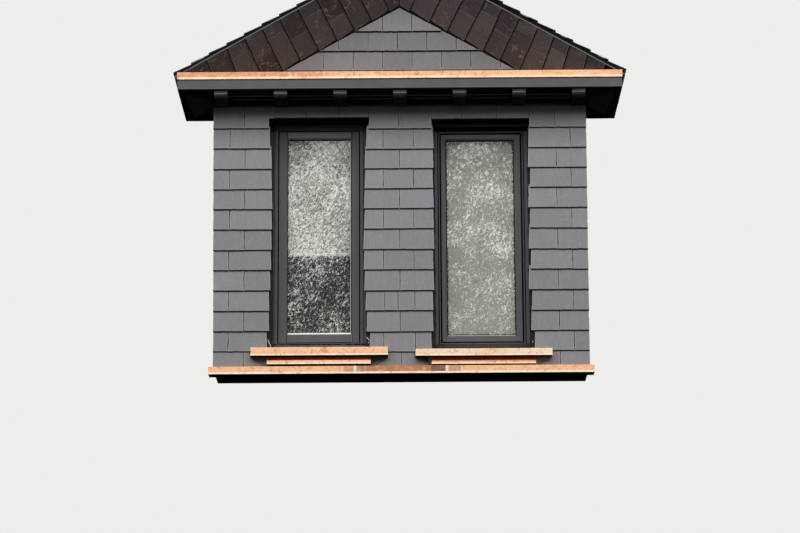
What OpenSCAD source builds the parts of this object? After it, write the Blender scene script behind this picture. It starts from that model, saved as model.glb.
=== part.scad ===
// Slate-hung dormer window with two single-light windows, a slated gable roof with a splayed verge and
// copper-clad ledges. Millimetres, +X to the right seen from outside, +Y into the building, +Z up.
// The origin is the centre of the underside of the sole plate at the outer face of the wall boarding.
// The back is cut off along the slope of the roof that the dormer stands in.

/* [Body] */
// Width of the slated body, from cheek to cheek
body_width = 2536; // [2440:4:2700]
// Thickness of the front wall behind its slates
wall_thick = 200; // [160:5:240]
// Thickness of each cheek wall
cheek_thick = 100; // [80:5:120]
// Height of the sole plate under the front wall
sole_high = 50; // [38:1:70]
// Width of a front pier between its cheek and the window beside it
pier_wide = 395; // [360:5:430]
// Height from the window heads to the eaves soffit
head_high = 132; // [110:2:160]
// Slope of the roof that the dormer stands in, in degrees
cut_pitch = 72; // [68:0.5:76]
// Height at which that slope meets the face of the front wall
cut_z = 566; // [480:2:640]

/* [Gable Roof] */
// Pitch of the dormer roof in degrees
roof_pitch = 30; // [28:0.5:32]
// Height of the roof tips above the eaves soffit
tip_rise = 109; // [100:1:116]
// Overhang of the roof and ledge before the wall boarding
front_over = 300; // [260:5:330]
// Overhang of the fascia beyond each cheek
side_over = 238; // [220:2:260]
// How far the roof slates pass the side fascia
slate_over = 27; // [15:1:35]
// Thickness of the roof slating, square to the slope
roof_clad = 20; // [16:1:26]
// Thickness of the roof boarding
deck = 25; // [20:1:30]
// Clearance between the rafters and their wall plate
plate_gap = 0.3; // [0.2:0.1:0.5]
// Depth of the rafters
rafter_deep = 100; // [80:5:120]
// Width of a rafter
rafter_wide = 50; // [40:2:60]
// Distance from rafter to rafter
rafter_pitch = 220; // [180:5:260]
// Half thickness of the ridge board
ridge_half = 20; // [15:1:25]
// Depth of the ridge board
ridge_deep = 150; // [120:5:180]
// Width of each wing of the ridge cap
cap_wing = 120; // [90:5:150]
// Half width and height over the ridge of the roll on that cap
cap_roll = 12; // [8:1:18]
// Visible width of a course of slates on the splay
splay_course = 140; // [130:1:150]
// Distance of the inner edge of the raking splay below the roof, square to the slope
splay_drop = 270; // [260:1:300]
// Distance of the outer edge of the splay below the roof
splay_edge = 30; // [28:1:36]
// Thickness of the slates on the splay
splay_clad = 12; // [9:1:14]
// Thickness of the boards behind the splay
splay_board = 25; // [18:1:30]
// Thickness of the gable wall
gable_thick = 100; // [70:5:120]

/* [Cornice] */
// Height of the fascia board
fascia_high = 62; // [50:1:70]
// Thickness of the fascia and of the soffit
board = 20; // [16:1:24]
// Height of the shadow gap between fascia and copper
shadow_gap = 6; // [4:1:10]
// Height of the copper face over the fascia
shelf_face = 50; // [40:1:60]
// Rise of the ledge top towards the gable
shelf_rise = 58; // [30:1:70]
// Thickness of the bright sheet with its bent hem
hem = 6; // [4:1:8]
// Thickness of the copper covering
sheet = 3; // [2:0.5:4]
// Number of brackets under the front eave
bracket_count = 7; // [5:2:7]
// Distance of the end brackets from the corners of the body
bracket_end = 8; // [0:1:30]
// Width of a bracket
bracket_wide = 90; // [70:2:100]
// Distance of the bracket fronts behind the face of the fascia
bracket_set = 45; // [35:1:60]
// Height of a bracket at its front
bracket_front = 36; // [30:1:44]
// Height of a bracket at the wall
bracket_back = 58; // [50:1:66]
// Height of the bed mould under the soffit
bed_high = 40; // [30:1:46]
// How far the bed mould stands out from the boarding
bed_deep = 60; // [45:1:70]

/* [Windows] */
// Clear width of a window opening
window_wide = 640; // [600:2:660]
// Height of a window frame
window_high = 1596; // [1540:2:1650]
// Thickness of the lining of the reveal
lining = 12; // [9:1:16]
// Depth of the reveal before the frame
reveal = 120; // [90:5:130]
// Depth of the window frame
frame_deep = 56; // [50:1:60]
// Face width of the frame at its sides
frame_face = 42; // [34:1:50]
// Face height of the frame at its head
frame_head = 45; // [38:1:52]
// Face height of the frame at its foot
frame_foot = 46; // [40:1:54]
// Setback of the sash from the face of the frame
sash_set = 12; // [8:1:16]
// Depth of the sash
sash_deep = 40; // [34:1:44]
// Face width of the sash stiles
stile = 57; // [48:1:64]
// Face height of the top rail of the sash
top_rail = 57; // [50:1:66]
// Face height of the bottom rail of the sash
bottom_rail = 64; // [56:1:74]
// Thickness of the pane
pane = 6; // [4:1:8]
// Clearance between sash and frame
sash_gap = 0.3; // [0.2:0.1:1]
// Depth of the case of a blind
case_deep = 22; // [16:1:22]
// Height of that case
case_high = 30; // [24:1:40]
// Height of the bottom bar of a blind
bar_high = 24; // [14:1:30]
// Depth of a blind's bottom bar
bar_deep = 8; // [6:1:10]
// Thickness of a blind's cloth
cloth_thick = 2; // [1:0.5:3]
// Gap from a blind's case to the room side of the wall
case_gap = 1; // [1:0.5:3]
// Share of the window height that the left blind covers, in percent
left_drawn = 57.6; // [20:0.2:92]
// Share that the right blind covers, in percent
right_drawn = 92.4; // [20:0.2:93]

/* [Sills] */
// How far a sill runs past each side of its opening
sill_horn = 137.5; // [120:0.5:150]
// Height of the copper face of a sill
sill_face = 56; // [50:1:60]
// Rise of the sill top from its nose to the frame
sill_rise = 20; // [14:1:24]
// How far a sill stands out from the boarding
sill_out = 82; // [70:1:90]
// How far the part under a sill runs past each side of the opening
sub_horn = 28.5; // [16:0.5:40]
// Height of that part
sub_high = 62; // [54:1:70]
// Height of the slates seen between that part and the copper ledge at the foot
sub_gap = 16; // [8:1:24]
// How far that part stands out from the boarding
sub_out = 62; // [50:1:66]
// Height of the copper ledge at the foot
ledge_high = 50; // [44:1:58]
// How far that ledge stands out from the boarding
ledge_out = 102; // [90:1:110]

/* [Slates] */
// Thickness of the wall slating at the tails of the slates
clad = 22; // [18:1:26]
// Thickness of the wall slating where the next course covers it
clad_thin = 10; // [8:1:14]
// Visible height of a course of wall slates
course = 141.5; // [130:0.5:150]
// Height of the lowest course joint of the front wall above the copper ledge
first_course = 122; // [112:1:130]
// Width of the copper flashing beside the dormer
valley_wide = 90; // [70:5:110]

/* [Hidden] */

body_half = body_width / 2;
wall_half = body_half - clad;
win_half = window_wide / 2;
win_x = body_half - pier_wide - win_half;
hole_half = win_half + lining;
eave_half = body_half + side_over;
sub_z = ledge_high + sub_gap;
sill_z = sub_z + sub_high;
frame_low = sill_z + sill_face + sill_rise;
head_z = frame_low + window_high;
soffit_z = head_z + head_high;
sill_half = win_half + sill_horn;
sub_half = win_half + sub_horn;
bracket_pitch = (body_width - bracket_wide - 2 * bracket_end) / (bracket_count - 1);
run = (eave_half + slate_over) / cos(roof_pitch);
ridge_z = soffit_z + tip_rise + (eave_half + slate_over) * tan(roof_pitch);
shelf_z = soffit_z + fascia_high + shadow_gap;
shelf_top = shelf_z + shelf_face;
sash_half = win_half - frame_face - sash_gap;
sash_low = frame_low + frame_foot;
sash_high = head_z - frame_head - sash_gap;
ceiling_high = 50;
far = body_width;
big = body_width + ridge_z;
slate_col = [0.42, 0.42, 0.43];
brown_col = [0.27, 0.22, 0.21];
copper_col = [0.85, 0.55, 0.38];
paint_col = [0.27, 0.27, 0.28];
wood_col = [0.72, 0.6, 0.44];
inside_col = [0.85, 0.84, 0.8];

// depth at which the cut passes a height
function cut_y(z) = (z - cut_z) / tan(cut_pitch);

// point of a roof slope: s down the slope from the ridge, d below its top face
function slope(s, d) = [s * cos(roof_pitch) - d * sin(roof_pitch),
    ridge_z - s * sin(roof_pitch) - d * cos(roof_pitch)];

// height of the layer d below the roof at a distance x from the middle
function roof_z(x, d) = ridge_z - d / cos(roof_pitch) - x * tan(roof_pitch);

// the splay in the plane square to the slope: its length and direction, then the place of a layer o behind
// its face
splay_len = norm([splay_drop - splay_edge, front_over - clad]);
splay_d = (splay_drop - splay_edge) / splay_len;
splay_y = (front_over - clad) / splay_len;
function layer_y(o, d) = -front_over + o * splay_d + (d - splay_edge + o * splay_y) / splay_d * splay_y;
function layer_d(o, y) = splay_edge - o * splay_y + (y + front_over - o * splay_d) / splay_y * splay_d;

// a saw-tooth edge of lapped courses from z0 to z1, thick at each tail
function tail_z(k) = ledge_high + first_course + k * course;
function laps(z0, z1) = let(tails = concat([z0], [for (k = [0:ceil(z1 / course)]) if (tail_z(k) > z0 + sheet
    && tail_z(k) < z1 - sheet) tail_z(k)], [z1]))
    [for (i = [0:len(tails) - 2]) each [[-clad, tails[i]], [-clad_thin, tails[i + 1]]]];

module along_x(x0, x1) {
    translate([x0, 0, 0])
        rotate([90, 0, 90])
            linear_extrude(x1 - x0)
                children();
}

module along_y(y0, y1) {
    translate([0, y1, 0])
        rotate([90, 0, 0])
            linear_extrude(y1 - y0)
                children();
}

// a bar that runs down the right slope, its section given as distance below the roof and depth
module along_slope(length) {
    intersection() {
        translate([0, 0, ridge_z])
            rotate([0, 90 + roof_pitch, 0])
                linear_extrude(length)
                    children();
        right_half();
    }
}

module right_half() {
    translate([0, -big, 0])
        cube([big, 2 * big, 2 * big]);
}

module mirrored(side) {
    if (side < 0)
        mirror([1, 0, 0])
            children();
    else
        children();
}

// keeps what lies before the cut
module before_cut() {
    intersection() {
        children();
        along_x(-big, big)
            polygon([[-big, -sheet], [cut_y(-sheet), -sheet], [cut_y(big), big], [-big, big]]);
    }
}

module block(x0, x1, y0, y1, z0, z1) {
    translate([x0, y0, z0])
        cube([x1 - x0, y1 - y0, z1 - z0]);
}

module sole_plate() {
    color(wood_col)
        block(-wall_half, wall_half, 0, wall_thick, 0, sole_high);
}

module front_wall() {
    color(inside_col)
        difference() {
            block(-wall_half, wall_half, 0, wall_thick, sole_high, soffit_z);
            for (side = [-1, 1])
                at_window(side)
                    block(-hole_half, hole_half, -clad, wall_thick + clad, sill_z, head_z + lining);
        }
}

module gable_wall() {
    under = roof_clad + deck;
    color(wood_col)
        along_y(0, gable_thick)
            polygon([[-wall_half, soffit_z], [wall_half, soffit_z], [wall_half, roof_z(wall_half, under)],
                [0, roof_z(0, under)], [-wall_half, roof_z(wall_half, under)]]);
}

module cheek(side) {
    color(inside_col)
        mirrored(side)
            along_x(wall_half - cheek_thick, wall_half)
                polygon([[wall_thick, cut_z + wall_thick * tan(cut_pitch)], [cut_y(soffit_z), soffit_z],
                    [wall_thick, soffit_z]]);
}

module ceiling() {
    color(inside_col)
        along_x(-wall_half, wall_half)
            polygon([[gable_thick, soffit_z], [cut_y(soffit_z), soffit_z],
                [cut_y(soffit_z + ceiling_high), soffit_z + ceiling_high], [gable_thick, soffit_z + ceiling_high]]);
}

module ridge_board() {
    half = ridge_half;
    under = roof_clad + deck;
    low = roof_z(half, under) - ridge_deep;
    color(wood_col)
        before_cut()
            along_y(gable_thick, far)
                polygon([[-half, low], [half, low], [half, roof_z(half, under)],
                    [0, roof_z(0, under)], [-half, roof_z(half, under)]]);
}

// rafters of one side with the wall plate that they rest on
module rafters(side) {
    under = roof_clad + deck;
    low = soffit_z + ceiling_high;
    inner = ridge_half;
    outer = eave_half - board;
    deep = under + rafter_deep;
    foot = (roof_z(0, deep) - low) / tan(roof_pitch);
    back = wall_half - cheek_thick;
    color(wood_col)
        mirrored(side)
            before_cut()
                union() {
                    for (y = [gable_thick, gable_thick + rafter_pitch, gable_thick + 2 * rafter_pitch])
                        along_y(y, y + rafter_wide)
                            polygon([[inner, roof_z(inner, under)], [inner, roof_z(inner, deep)], [foot, low], [outer, low],
                                [outer, roof_z(outer, under)]]);
                    along_y(gable_thick, far)
                        polygon([[back, low], [wall_half, low], [wall_half, roof_z(wall_half, deep) - plate_gap],
                            [back, roof_z(back, deep) - plate_gap]]);
                }
}

module deck_boards(side) {
    under = roof_clad + deck;
    color(wood_col)
        mirrored(side)
            before_cut()
                along_slope(run - deck / 2)
                    polygon([[roof_clad, layer_y(splay_clad + splay_board, roof_clad)],
                        [under, layer_y(splay_clad + splay_board, under)], [under, far], [roof_clad, far]]);
}

// keeps what lies above the copper top of the ledge
module above_ledge() {
    intersection() {
        children();
        along_x(-big, big)
            polygon([[-2 * front_over, shelf_top - shelf_rise], [0, shelf_top + shelf_rise],
                [wall_thick, shelf_top + shelf_rise], [wall_thick, big], [-2 * front_over, big]]);
    }
}

module splay_boards(side) {
    o = splay_clad + splay_board;
    color(wood_col)
        mirrored(side)
            above_ledge()
                along_slope(run)
                    polygon([[roof_clad, layer_y(splay_clad, roof_clad)], [layer_d(splay_clad, 0), 0], [layer_d(o, 0), 0],
                        [roof_clad, layer_y(o, roof_clad)]]);
}

// the roof slates of one slope, each course thick at its tail
module roof_slates(side) {
    n = round((run - cap_wing) / course);
    step = (run - cap_wing) / n;
    thin = roof_clad * 0.4;
    saw = [for (k = [0:n - 1]) each [
        slope(cap_wing + k * step, k == 0 ? 0 : thin), slope(cap_wing + (k + 1) * step, 0)]];
    color(slate_col)
        mirrored(side)
            before_cut()
                along_y(-front_over, far)
                    polygon(concat([[0, ridge_z]], saw, [slope(run, roof_clad)], [[0, roof_z(0, roof_clad)]]));
}

// the slates under the splay, laid across it in courses that step down along the rake
module splay_slates(side) {
    tilt = atan2(splay_d, splay_y);
    thin = splay_clad * 0.4;
    n = ceil(run / splay_course);
    saw = [for (k = [0:n - 1]) each [[k * splay_course, thin], [(k + 1) * splay_course, splay_clad]]];
    color(brown_col)
        mirrored(side)
            above_ledge()
                intersection() {
                    translate([0, 0, ridge_z])
                        rotate([0, 90 + roof_pitch, 0])
                            translate([splay_edge, -front_over, 0])
                                rotate([0, 0, -tilt])
                                    translate([0, splay_len, 0])
                                        rotate([90, 0, 0])
                                            linear_extrude(splay_len)
                                                polygon(concat([[-splay_clad, 0]], [for (p = saw) [p[1] - splay_clad, p[0]]],
                                                    [[-splay_clad, n * splay_course]]));
                    right_half();
                }
}

module gable_slates() {
    low = shelf_top + shelf_rise - splay_clad;
    high = roof_z(0, layer_d(splay_clad, 0));
    half = (high - low) / tan(roof_pitch);
    color(slate_col)
        above_ledge()
            intersection() {
                along_x(-body_half, body_half)
                    polygon(concat([[0, low - clad]], laps(low - clad, high), [[0, high]]));
                along_y(-front_over, 0)
                    polygon([[-half, low], [half, low], [0, high]]);
            }
}

module wall_slates() {
    top = soffit_z - bed_high;
    color(slate_col)
        difference() {
            along_x(-body_half, body_half)
                polygon(concat([[0, ledge_high]], laps(ledge_high, top), [[0, top]]));
            for (side = [-1, 1])
                at_window(side) {
                    block(-win_half + sheet, win_half - sheet, -2 * clad, clad, sill_z, head_z + lining / 2);
                    block(-sill_half, sill_half, -2 * clad, clad, sill_z, sill_top(0));
                    block(-sub_half, sub_half, -2 * clad, clad, sub_z, sill_z + sheet);
                }
        }
}

module cheek_slates(side) {
    low = cut_z + clad;
    color(slate_col)
        mirrored(side)
            translate([wall_half, 0, 0])
                before_cut()
                    along_y(0, far)
                        polygon(concat([[0, low]], [for (p = laps(low, soffit_z)) [-p[0], p[1]]], [[0, soffit_z]]));
}

module ridge_cap() {
    wing = cap_wing;
    r = cap_roll;
    color(copper_col)
        before_cut()
            along_y(-front_over - hem, far)
                polygon([[0, ridge_z], slope(wing, 0), slope(wing, -sheet), [r, roof_z(r, -sheet)],
                    [r, ridge_z + r], [r / 2, ridge_z + 1.8 * r], [-r / 2, ridge_z + 1.8 * r], [-r, ridge_z + r],
                    [-r, roof_z(r, -sheet)], [-slope(wing, -sheet)[0], slope(wing, -sheet)[1]],
                    [-slope(wing, 0)[0], slope(wing, 0)[1]]]);
}

// a thin slab on the face of the cut
module cut_skin(thick) {
    along_x(-big, big)
        polygon([[cut_y(0) - thick / sin(cut_pitch), 0], [cut_y(0), 0], [cut_y(big), big],
            [cut_y(big) - thick / sin(cut_pitch), big]]);
}

module valley(side) {
    w = valley_wide;
    color(copper_col)
        mirrored(side)
            intersection() {
                cut_skin(sheet);
                along_y(-front_over, far)
                    polygon([slope(cap_wing, 0), slope(cap_wing, -w), slope(run - w * tan(roof_pitch), -w),
                        slope(run, 0)]);
            }
}

module front_soffit() {
    color(paint_col)
        block(-eave_half + board, eave_half - board, -front_over + board, 0, soffit_z, soffit_z + board);
}

module front_fascia() {
    color(paint_col)
        block(-eave_half, eave_half, -front_over, -front_over + board, soffit_z, soffit_z + fascia_high);
}

// soffit and fascia of one side eave
module eave(side) {
    under = roof_clad + deck;
    color(paint_col)
        mirrored(side)
            before_cut()
                union() {
                    block(wall_half, eave_half - board / 2, 0, far, soffit_z, soffit_z + board);
                    along_y(-front_over + board, far)
                        polygon([[eave_half - board, soffit_z], [eave_half, soffit_z],
                            [eave_half, roof_z(eave_half, under)], [eave_half - board, roof_z(eave_half - board, under)]]);
                }
}

// keeps what lies under the layer d of both slopes
module under_roof(d) {
    intersection() {
        children();
        along_y(-2 * front_over, far)
            polygon([[-run, 0], [run, 0], [run, roof_z(run, d)], [0, roof_z(0, d)], [-run, roof_z(run, d)]]);
    }
}

module ledge_core() {
    color(wood_col)
        under_roof(roof_clad + deck)
            along_x(-eave_half + board, eave_half - board)
                polygon([[-front_over + board, soffit_z + board], [0, soffit_z + board], [0, shelf_top + shelf_rise - sheet],
                    [-front_over, shelf_top - sheet], [-front_over, shelf_z], [-front_over + board / 2, shelf_z],
                    [-front_over + board / 2, soffit_z + fascia_high], [-front_over + board, soffit_z + fascia_high]]);
}

module ledge_copper() {
    color(copper_col)
        union() {
            block(-eave_half - sheet, eave_half + sheet, -front_over - hem, -front_over, shelf_z, shelf_top);
            under_roof(roof_clad + deck)
                along_x(-eave_half + board, eave_half - board)
                    polygon([[-front_over, shelf_top - sheet], [0, shelf_top + shelf_rise - sheet],
                        [0, shelf_top + shelf_rise], [-front_over, shelf_top]]);
        }
}

module bed_mould() {
    color(paint_col)
        along_x(-body_half, body_half)
            polygon([[-bed_deep, soffit_z], [-bed_deep, soffit_z - bed_high / 2], [-bed_deep / 2 - clad / 2, soffit_z - bed_high],
                [0, soffit_z - bed_high], [0, soffit_z]]);
}

module brackets() {
    color(paint_col)
        for (i = [0:bracket_count - 1])
            translate([(i - (bracket_count - 1) / 2) * bracket_pitch, 0, 0])
                along_x(-bracket_wide / 2, bracket_wide / 2)
                    polygon([[-front_over + bracket_set, soffit_z], [-front_over + bracket_set, soffit_z - bracket_front],
                        [-bed_deep, soffit_z - bracket_back], [-bed_deep, soffit_z]]);
}

module foot_ledge() {
    color(copper_col)
        along_x(-body_half - clad, body_half + clad)
            polygon([[-ledge_out, 0], [0, 0], [0, ledge_high], [-clad, ledge_high], [-ledge_out, ledge_high - sheet]]);
}

module at_window(side) {
    translate([side * win_x, 0, 0])
        children();
}

// the boards that line a reveal on both sides and over it
module window_linings() {
    low = frame_low;
    color(paint_col)
        for (side = [-1, 1])
            at_window(side)
                along_y(0, wall_thick)
                    polygon([[-hole_half, low], [-hole_half, head_z + lining], [hole_half, head_z + lining],
                        [hole_half, low], [win_half, low], [win_half, head_z], [-win_half, head_z], [-win_half, low]]);
}

// a rectangular ring of rails in the plane of the wall
module ring(half, z0, z1, side_w, foot_w, head_w) {
    difference() {
        translate([-half, z0])
            square([2 * half, z1 - z0]);
        translate([-half + side_w, z0 + foot_w])
            square([2 * (half - side_w), z1 - z0 - foot_w - head_w]);
    }
}

module window_frame(side) {
    color(paint_col)
        at_window(side)
            along_y(reveal, reveal + frame_deep)
                ring(win_half, frame_low, head_z, frame_face, frame_foot, frame_head);
}

module sash(side) {
    color(paint_col)
        at_window(side)
            along_y(reveal + sash_set, reveal + sash_set + sash_deep)
                ring(sash_half, sash_low, sash_high, stile, bottom_rail, top_rail);
}

module glass(side) {
    y = reveal + sash_set + sash_deep / 2;
    color([0.75, 0.82, 0.84, 0.5])
        at_window(side)
            block(-sash_half + stile, sash_half - stile, y - pane / 2, y + pane / 2, sash_low + bottom_rail, sash_high - top_rail);
}

// roller blind: its case under the lining, the hanging cloth and the bottom bar
module blind(side, drawn) {
    low = head_z - window_high * drawn / 100;
    y = wall_thick - case_deep / 2 - case_gap;
    half = win_half - hem;
    cloth = half - hem;
    color([0.6, 0.62, 0.56])
        at_window(side)
            union() {
                block(-half, half, y - case_deep / 2, y + case_deep / 2, head_z - case_high, head_z);
                block(-cloth, cloth, y - cloth_thick / 2, y + cloth_thick / 2, low + bar_high / 2, head_z - case_high / 2);
                block(-cloth, cloth, y - bar_deep / 2, y + bar_deep / 2, low, low + bar_high);
            }
}

// a sill with the narrower part under it, both clad in copper
function sill_top(y) = sill_z + sill_face + sill_rise * (y + sill_out) / (reveal + sill_out);

module sill(side) {
    color(copper_col)
        at_window(side)
            union() {
                along_x(-hole_half, hole_half)
                    polygon([[-sill_out, sill_z], [wall_thick, sill_z], [wall_thick, frame_low], [reveal, frame_low],
                        [-sill_out, sill_top(-sill_out)]]);
                along_x(-sill_half, sill_half)
                    polygon([[-sill_out, sill_z], [0, sill_z], [0, sill_top(0)], [-sill_out, sill_top(-sill_out)]]);
                along_x(-sub_half, sub_half)
                    polygon([[-sub_out, sub_z], [0, sub_z], [0, sill_z + sheet], [-sub_out, sill_z + sheet]]);
            }
}

sole_plate();
front_wall();
gable_wall();
cheek(-1);  // left_cheek
cheek(1);  // right_cheek
ceiling();
ridge_board();
rafters(-1);  // left_rafters
rafters(1);  // right_rafters
deck_boards(-1);  // left_deck
deck_boards(1);  // right_deck
splay_boards(-1);  // left_splay_boards
splay_boards(1);  // right_splay_boards
roof_slates(-1);  // left_roof_slates
roof_slates(1);  // right_roof_slates
splay_slates(-1);  // left_splay_slates
splay_slates(1);  // right_splay_slates
gable_slates();
wall_slates();
cheek_slates(-1);  // left_cheek_slates
cheek_slates(1);  // right_cheek_slates
ridge_cap();
valley(-1);  // left_valley
valley(1);  // right_valley
front_soffit();
front_fascia();
eave(-1);  // left_eave
eave(1);  // right_eave
ledge_core();
ledge_copper();
bed_mould();
brackets();
foot_ledge();
window_linings();
window_frame(-1);  // left_frame
window_frame(1);  // right_frame
sash(-1);  // left_sash
sash(1);  // right_sash
glass(-1);  // left_glass
glass(1);  // right_glass
blind(-1, left_drawn);  // left_blind
blind(1, right_drawn);  // right_blind
sill(-1);  // left_sill
sill(1);  // right_sill
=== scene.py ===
"""The looks of the dormer window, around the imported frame. Lengths are millimetres until a mesh is made."""

import random
from math import copysign, cos, hypot, pi, radians, sin, tan

import bpy
from mathutils import Matrix, Vector, noise


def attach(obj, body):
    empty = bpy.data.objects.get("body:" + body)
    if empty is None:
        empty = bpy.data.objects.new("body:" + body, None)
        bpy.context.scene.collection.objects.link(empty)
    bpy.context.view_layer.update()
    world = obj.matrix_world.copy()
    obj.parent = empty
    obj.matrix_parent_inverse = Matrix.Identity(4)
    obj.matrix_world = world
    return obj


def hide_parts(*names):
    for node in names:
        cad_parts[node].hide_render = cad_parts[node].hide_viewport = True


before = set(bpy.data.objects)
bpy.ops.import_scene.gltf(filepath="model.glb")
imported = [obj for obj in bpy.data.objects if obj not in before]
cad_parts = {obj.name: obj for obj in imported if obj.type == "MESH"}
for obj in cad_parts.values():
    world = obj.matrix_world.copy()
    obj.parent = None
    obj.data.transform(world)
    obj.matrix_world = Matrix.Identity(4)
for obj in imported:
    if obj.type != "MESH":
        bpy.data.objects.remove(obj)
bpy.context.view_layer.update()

# sizes that the frame has too
BODY_HALF = 1268
WALL_HALF = 1246
EAVE_HALF = 1506
WIN_X = 553
WIN_HALF = 320
FRAME_LOW = 204
HEAD_Z = 1800
SOFFIT_Z = 1932
BED_Z = 1892
SHELF_Z = 2000
SHELF_TOP = 2050
SHELF_RISE = 58
LEDGE_HIGH = 50
LEDGE_OUT = 102
SILL_Z = 128
SILL_HALF = 457.5
SILL_OUT = 82
SUB_Z = 66
SUB_HALF = 348.5
SUB_OUT = 62
CLAD = 22
COURSE = 141.5
FIRST_TAIL = 172
FRONT = 300
PITCH = radians(30)
SP, CP, TP = sin(PITCH), cos(PITCH), tan(PITCH)  # the sine, cosine and tangent of the roof's pitch
RIDGE_Z = 2926.08
RUN = 1770.16
CUT_Z = 566
CUT_TAN = tan(radians(72))
SPLAY_EDGE = 30
SPLAY_DROP = 270
SIDES = ((-1, "left"), (1, "right"))

# camera, from a fit of the photograph
LENS = 123.57
CAM_AT = (0.0805, -18.0551, -3.7215)
CAM_PITCH = radians(13.938)
CAM_YAW = radians(-0.273)
CAM_ROLL = radians(0.306)


def cut_y(z):
    """How far back the slope behind is at a height."""
    return (z - CUT_Z) / CUT_TAN


def course(k):
    """The height at which course k of the wall begins."""
    return FIRST_TAIL + k * COURSE


def new_object(name, data):
    obj = bpy.data.objects.new(name, data)
    bpy.context.scene.collection.objects.link(obj)
    return obj


class Shape:
    """Collects vertices and faces in millimetres, with a tone and a seed for each vertex."""

    def __init__(self):
        self.verts, self.faces, self.mats, self.tones, self.seeds = [], [], [], [], []

    def add(self, verts, faces, tone=0.5, seed=0.0, mats=0):
        base = len(self.verts)
        self.verts += verts
        self.faces += [[base + i for i in f] for f in faces]
        self.mats += mats if isinstance(mats, list) else [mats] * len(faces)
        self.tones += tone if isinstance(tone, list) else [tone] * len(verts)
        self.seeds += [seed] * len(verts)

    def loft(self, rings, tone=0.5, seed=0.0, mats=0, flip=False):
        """Joins outlines of equally many points, and closes the first and the last."""
        n = len(rings[0])
        end = n * (len(rings) - 1)
        faces = [[a + i, a + (i + 1) % n, a + n + (i + 1) % n, a + n + i]
                 for a in range(0, end, n) for i in range(n)]
        faces += [list(range(n))[::-1], list(range(end, end + n))]
        self.add([p for r in rings for p in r], [f[::-1] for f in faces] if flip else faces, tone, seed, mats)

    def build(self, name, materials, replaces=(), bevel=0.0, smooth=False):
        mesh = bpy.data.meshes.new(name)
        mesh.from_pydata([[c * 0.001 for c in v] for v in self.verts], [], self.faces)
        for label, values in (("tone", self.tones), ("seed", self.seeds)):
            mesh.attributes.new(label, "FLOAT", "POINT").data.foreach_set("value", values)
        for m in materials:
            mesh.materials.append(m)
        mesh.polygons.foreach_set("material_index", self.mats)
        if smooth:
            mesh.shade_smooth()
        mesh.validate()
        obj = new_object(name, mesh)
        if bevel:
            round_edges(obj, bevel)
        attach(obj, "root")
        if replaces:
            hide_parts(*replaces)
        return obj


def round_edges(obj, width):
    mod = obj.modifiers.new("edges", "BEVEL")
    mod.width = width * 0.001
    mod.segments = 2
    mod.limit_method = "ANGLE"
    mod.angle_limit = radians(35)
    mod.harden_normals = True


# ----- outlines in a plane -----

def edges(poly):
    return zip(poly, poly[1:] + poly[:1])


def area(poly):
    return sum(a[0] * b[1] - b[0] * a[1] for a, b in edges(poly)) / 2


def clip(poly, a, b, c):
    """The part of an outline where a*u + b*v <= c."""
    out = []
    for p, q in edges(poly):
        dp, dq = a * p[0] + b * p[1] - c, a * q[0] + b * q[1] - c
        if dp <= 0:
            out.append(p)
        if dp * dq < 0:
            t = dp / (dp - dq)
            out.append((p[0] + (q[0] - p[0]) * t, p[1] + (q[1] - p[1]) * t))
    return out


def inset(poly, d):
    out = []
    for i, (x, y) in enumerate(poly):
        (ax, ay), (bx, by) = poly[i - 1], poly[(i + 1) % len(poly)]
        la, lb = hypot(x - ax, y - ay) or 1, hypot(bx - x, by - y) or 1
        n1, n2 = (-(y - ay) / la, (x - ax) / la), (-(by - y) / lb, (bx - x) / lb)
        k = d / max(1 + n1[0] * n2[0] + n1[1] * n2[1], 0.7)
        out.append((x + (n1[0] + n2[0]) * k, y + (n1[1] + n2[1]) * k))
    return out


def carve(rect, holes):
    """The outlines of what the holes leave of a rectangle, all as (u0, v0, u1, v1)."""
    u0, v0, u1, v1 = rect
    us = sorted({u0, u1} | {c for h in holes for c in (h[0], h[2]) if u0 < c < u1})
    vs = sorted({v0, v1} | {c for h in holes for c in (h[1], h[3]) if v0 < c < v1})
    kept = set()
    for i in range(len(us) - 1):
        for j in range(len(vs) - 1):
            u, v = (us[i] + us[i + 1]) / 2, (vs[j] + vs[j + 1]) / 2
            if not any(h[0] < u < h[2] and h[1] < v < h[3] for h in holes):
                kept.add((i, j))
    step = {}
    for i, j in kept:
        sides = (((i, j - 1), (i, j), (i + 1, j)), ((i + 1, j), (i + 1, j), (i + 1, j + 1)),
                 ((i, j + 1), (i + 1, j + 1), (i, j + 1)), ((i - 1, j), (i, j + 1), (i, j)))
        for other, a, b in sides:
            if other not in kept:
                step[a] = b
    loops = []
    while step:
        start = min(step)
        loop, at = [start], step.pop(start)
        while at != start:
            loop.append(at)
            at = step.pop(at)
        pts = [(us[i], vs[j]) for i, j in loop]
        around = zip(pts[-1:] + pts, pts, pts[1:] + pts[:1])
        loops.append([p for before, p, after in around if abs(area([before, p, after])) > 1e-6])
    return loops


def worn(poly, rng, chips):
    """The outline with the small unevenness of cut and handled edges."""
    out = []
    for (ax, ay), (bx, by) in edges(poly):
        long = hypot(bx - ax, by - ay)
        if long < 2:
            out.append((ax, ay))
            continue
        n = max(1, round(long / WEAR_STEP))
        nx, ny = -(by - ay) / long, (bx - ax) / long
        for j in range(n):
            t = (j + (rng.uniform(-0.25, 0.25) if j else 0)) / n
            d = rng.uniform(0, WEAR) + (rng.uniform(0.8, 2.6) if j and rng.random() < chips else 0)
            out.append((ax + (bx - ax) * t + nx * d, ay + (by - ay) * t + ny * d))
    return out


# ----- slates -----

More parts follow.
